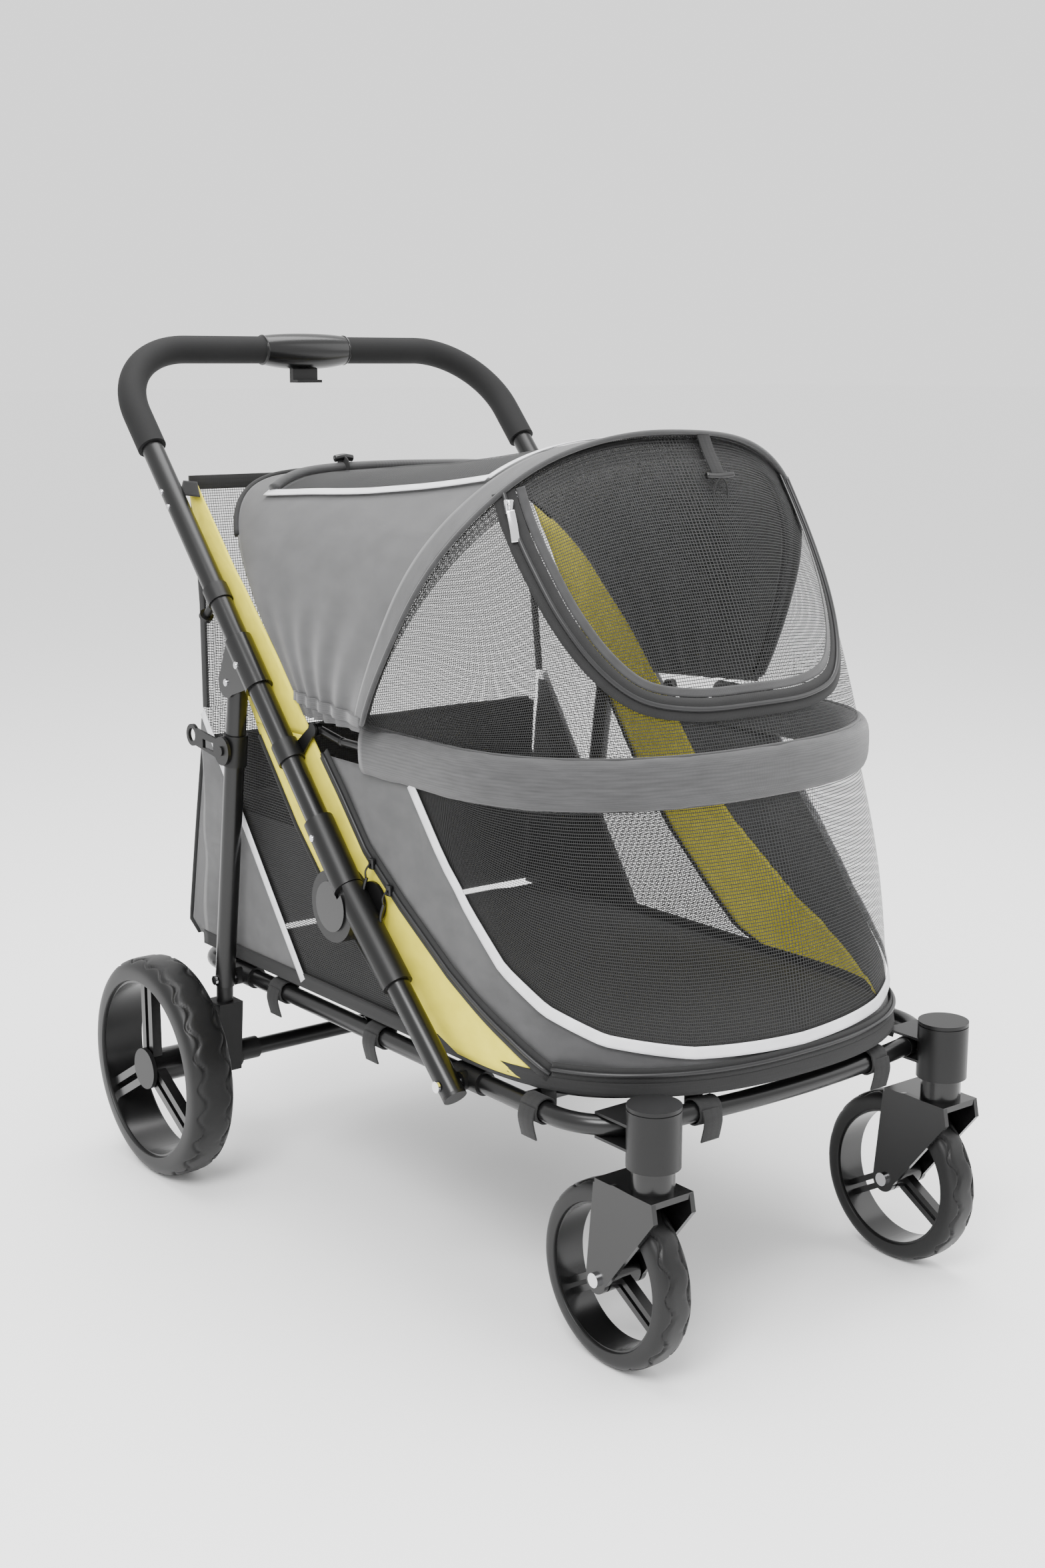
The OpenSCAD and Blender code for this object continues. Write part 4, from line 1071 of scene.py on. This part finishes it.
def strap_pieces():
    """Hook-and-loop straps round the base tube, each with a loose tail."""
    lo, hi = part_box("base_frame_tube")
    z = (lo.z + hi.z) / 2
    x_side = hi.x - (hi.z - lo.z) / 2
    spots = []
    for side in (-1, 1):
        for y in (0.04, -0.262, 0.26):
            spots.append((Vector((side * x_side, y - MID, z)), Vector((0, 1, 0)), side))
        spots.append((at(side * 0.13, -0.3735, z), Vector((1, 0.13 * side, 0)).normalized(), 0))
    pieces = []
    for c, along, side in spots:
        out = Vector((side, 0, 0)) if side else Vector((0, -1, 0))
        ring = []
        for i in range(29):
            t = 2 * math.pi * i / 28
            reach = 0.0135 if math.sin(t) < 0.6 else 0.0145
            ring.append(c + out * (reach * math.cos(t)) + Vector((0, 0, reach * math.sin(t))))
        loop = sweep("loop", ring, box_profile(0.0022, 0.028), up=lambda i: along, close=True)
        tail_path = smooth_path([c + out * 0.0135 + Vector((0, 0, 0.006)),
            c + out * 0.017 + Vector((0, 0, -0.008)), c + out * 0.012 + Vector((0, 0, -0.03))], 14)
        tail = sweep("tail", tail_path, box_profile(0.026, 0.002), up=lambda i: out)
        lift = smooth_path([c - out * 0.014, c - out * 0.0145
            + Vector((0, 0, 0.012)), c - out * 0.013 + Vector((0, 0, 0.028))], 8)
        rise = sweep("rise", lift, box_profile(0.026, 0.002), up=lambda i: out)
        pieces += [loop, tail, rise]
    piece = joined("hook_and_loop_straps", pieces)
    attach(dress(piece, "black"), "base")
    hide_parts("hook_loop_straps")


# ---------- the handle ----------


def handle_housing_piece():
    """The housing in the middle of the handle, fuller at its centre and deepest underneath."""
    lo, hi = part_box("handle_housing_top")
    foot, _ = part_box("handle_housing_bottom")
    middle = Vector((0, (lo.y + hi.y) / 2, (hi.z + foot.z) / 2))

    def place(u, v):
        turn = 2 * math.pi * u
        t = min(max((v - 0.05) / 0.9, 0.0), 1.0) * 2 - 1
        swell = (1 - abs(t) ** 2.2) ** 0.9
        r = 0.0192 + 0.0036 * swell
        if v < 0.01 or v > 0.99:
            r = 0.0
        rise = r * math.sin(turn)
        if rise < 0:
            rise *= 1 + 0.16 * swell
        return middle + Vector((0.068 * t, r * math.cos(turn), rise))

    piece = seal(sheet_grid("handle_housing", 64, 40, place, (0.14, 0.14)))
    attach(dress(piece, "gloss"), "upper_frame")
    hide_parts("handle_housing_top", "handle_housing_bottom")
    for t in (-1, 1):
        ring = []
        for i in range(41):
            a = 2 * math.pi * i / 40
            ring.append(middle + Vector((0.066 * t, 0.0194 * math.cos(a), 0.0194 * math.sin(a))))
        name = "handle_housing_lip_" + ("left" if t > 0 else "right")
        lip = dress(sweep(name, ring, round_profile(0.0014, 8), close=True), "gloss")
        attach(lip, "upper_frame")


# ---------- wheels ----------


def tyre_piece(node, body, waves):
    """A foam tyre with a flat tread and a wavy groove on each shoulder."""
    lo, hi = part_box(node)
    c = (lo + hi) / 2
    r = (hi.z - lo.z) / 2
    half = (hi.x - lo.x) / 2
    depth = 0.026 if r > 0.12 else 0.02

    def place(u, v):
        turn = 2 * math.pi * u
        s = 2 * math.pi * v
        cs = math.cos(s)
        sn = math.sin(s)
        x = half * math.copysign(abs(cs) ** 0.55, cs)
        rad = r - depth + depth * math.copysign(abs(sn) ** 0.6, sn) * (1 if sn > 0 else 0.12)
        wave = 0.62 + 0.16 * math.sin(waves * turn) * (1 if x > 0 else -1)
        if sn > 0:
            near = abs(abs(x) / half - wave)
            rad -= 0.0034 * max(0.0, 1 - near / 0.08)
        return Vector((c.x + x, c.y + rad * math.cos(turn), c.z + rad * math.sin(turn)))

    piece = seal(sheet_grid(node + "_tread", 300, 64, place, (2 * math.pi * r, 0.15)))
    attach(dress(piece, "tread"), body)
    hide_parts(node)


# ---------- the floor, camera and lights ----------

FLOOR_SIZE = 160
SKY_STRENGTH = 1.5
# Each soft lamp: name, place, power in watts, width.
LAMPS = [("key", (-2.6, -2.0, 3.6), 230, 1.8), ("fill", (2.8, -1.6, 2.2), 40, 2.5),
    ("top", (0.3, 0.4, 3.8), 170, 2.6)]
LAMP_TARGET = (0, 0, 0.5)
CAMERA_PLACE = (-1.52, -1.8644, 1.0473)
CAMERA_DOWN = 11.713
CAMERA_TURN = 37.612
CAMERA_LENS = 46.37


def studio():
    deselect()
    bpy.ops.mesh.primitive_grid_add(x_subdivisions=2, y_subdivisions=2, size=FLOOR_SIZE)
    floor = bpy.context.object
    floor.name = "floor"
    m, _, shader = base_material("Pale floor", 0.6)
    shader.inputs["Base Color"].default_value = (0.97, 0.97, 0.97, 1)
    floor.data.materials.append(m)
    world = bpy.context.scene.world or bpy.data.worlds.new("Studio")
    bpy.context.scene.world = world
    world.use_nodes = True
    back = world.node_tree.nodes["Background"]
    back.inputs["Color"].default_value = (1, 1, 1, 1)
    back.inputs["Strength"].default_value = SKY_STRENGTH
    for name, spot, power, size in LAMPS:
        deselect()
        bpy.ops.object.light_add(type="AREA", location=spot)
        lamp = bpy.context.object
        lamp.name = name
        lamp.data.energy = power
        lamp.data.size = size
        lamp.rotation_euler = (Vector(LAMP_TARGET) - Vector(spot)).to_track_quat("-Z", "Y").to_euler()


def camera():
    deselect()
    bpy.ops.object.camera_add(location=at(*CAMERA_PLACE))
    cam = bpy.context.object
    cam.rotation_euler = (math.radians(90 - CAMERA_DOWN), 0, math.radians(-CAMERA_TURN))
    cam.data.lens = CAMERA_LENS
    bpy.context.scene.camera = cam


def build():
    studio()
    camera()
    dress_cad()
    front_panel_piece()
    front_window_piece()
    tape_pieces()
    band_pieces()
    side_cloth_pieces()
    hem_pieces()
    side_zip_pieces()
    rear_pieces()
    rear_upper_piece()
    cushion_piece()
    floor_shade_cloth_piece()
    padded_band_piece()
    hood_pieces()
    bow_piece()
    handle_housing_piece()
    roof_window_pieces()
    arch_strap_pieces()
    screen_pieces()
    window_zip_pieces()
    window_slider_piece()
    strap_pieces()
    for side in ("left", "right"):
        tyre_piece(side + "_rear_tyre", side + "_rear_wheel", 22)
        tyre_piece(side + "_castor_tyre", side + "_front_wheel", 16)


build()
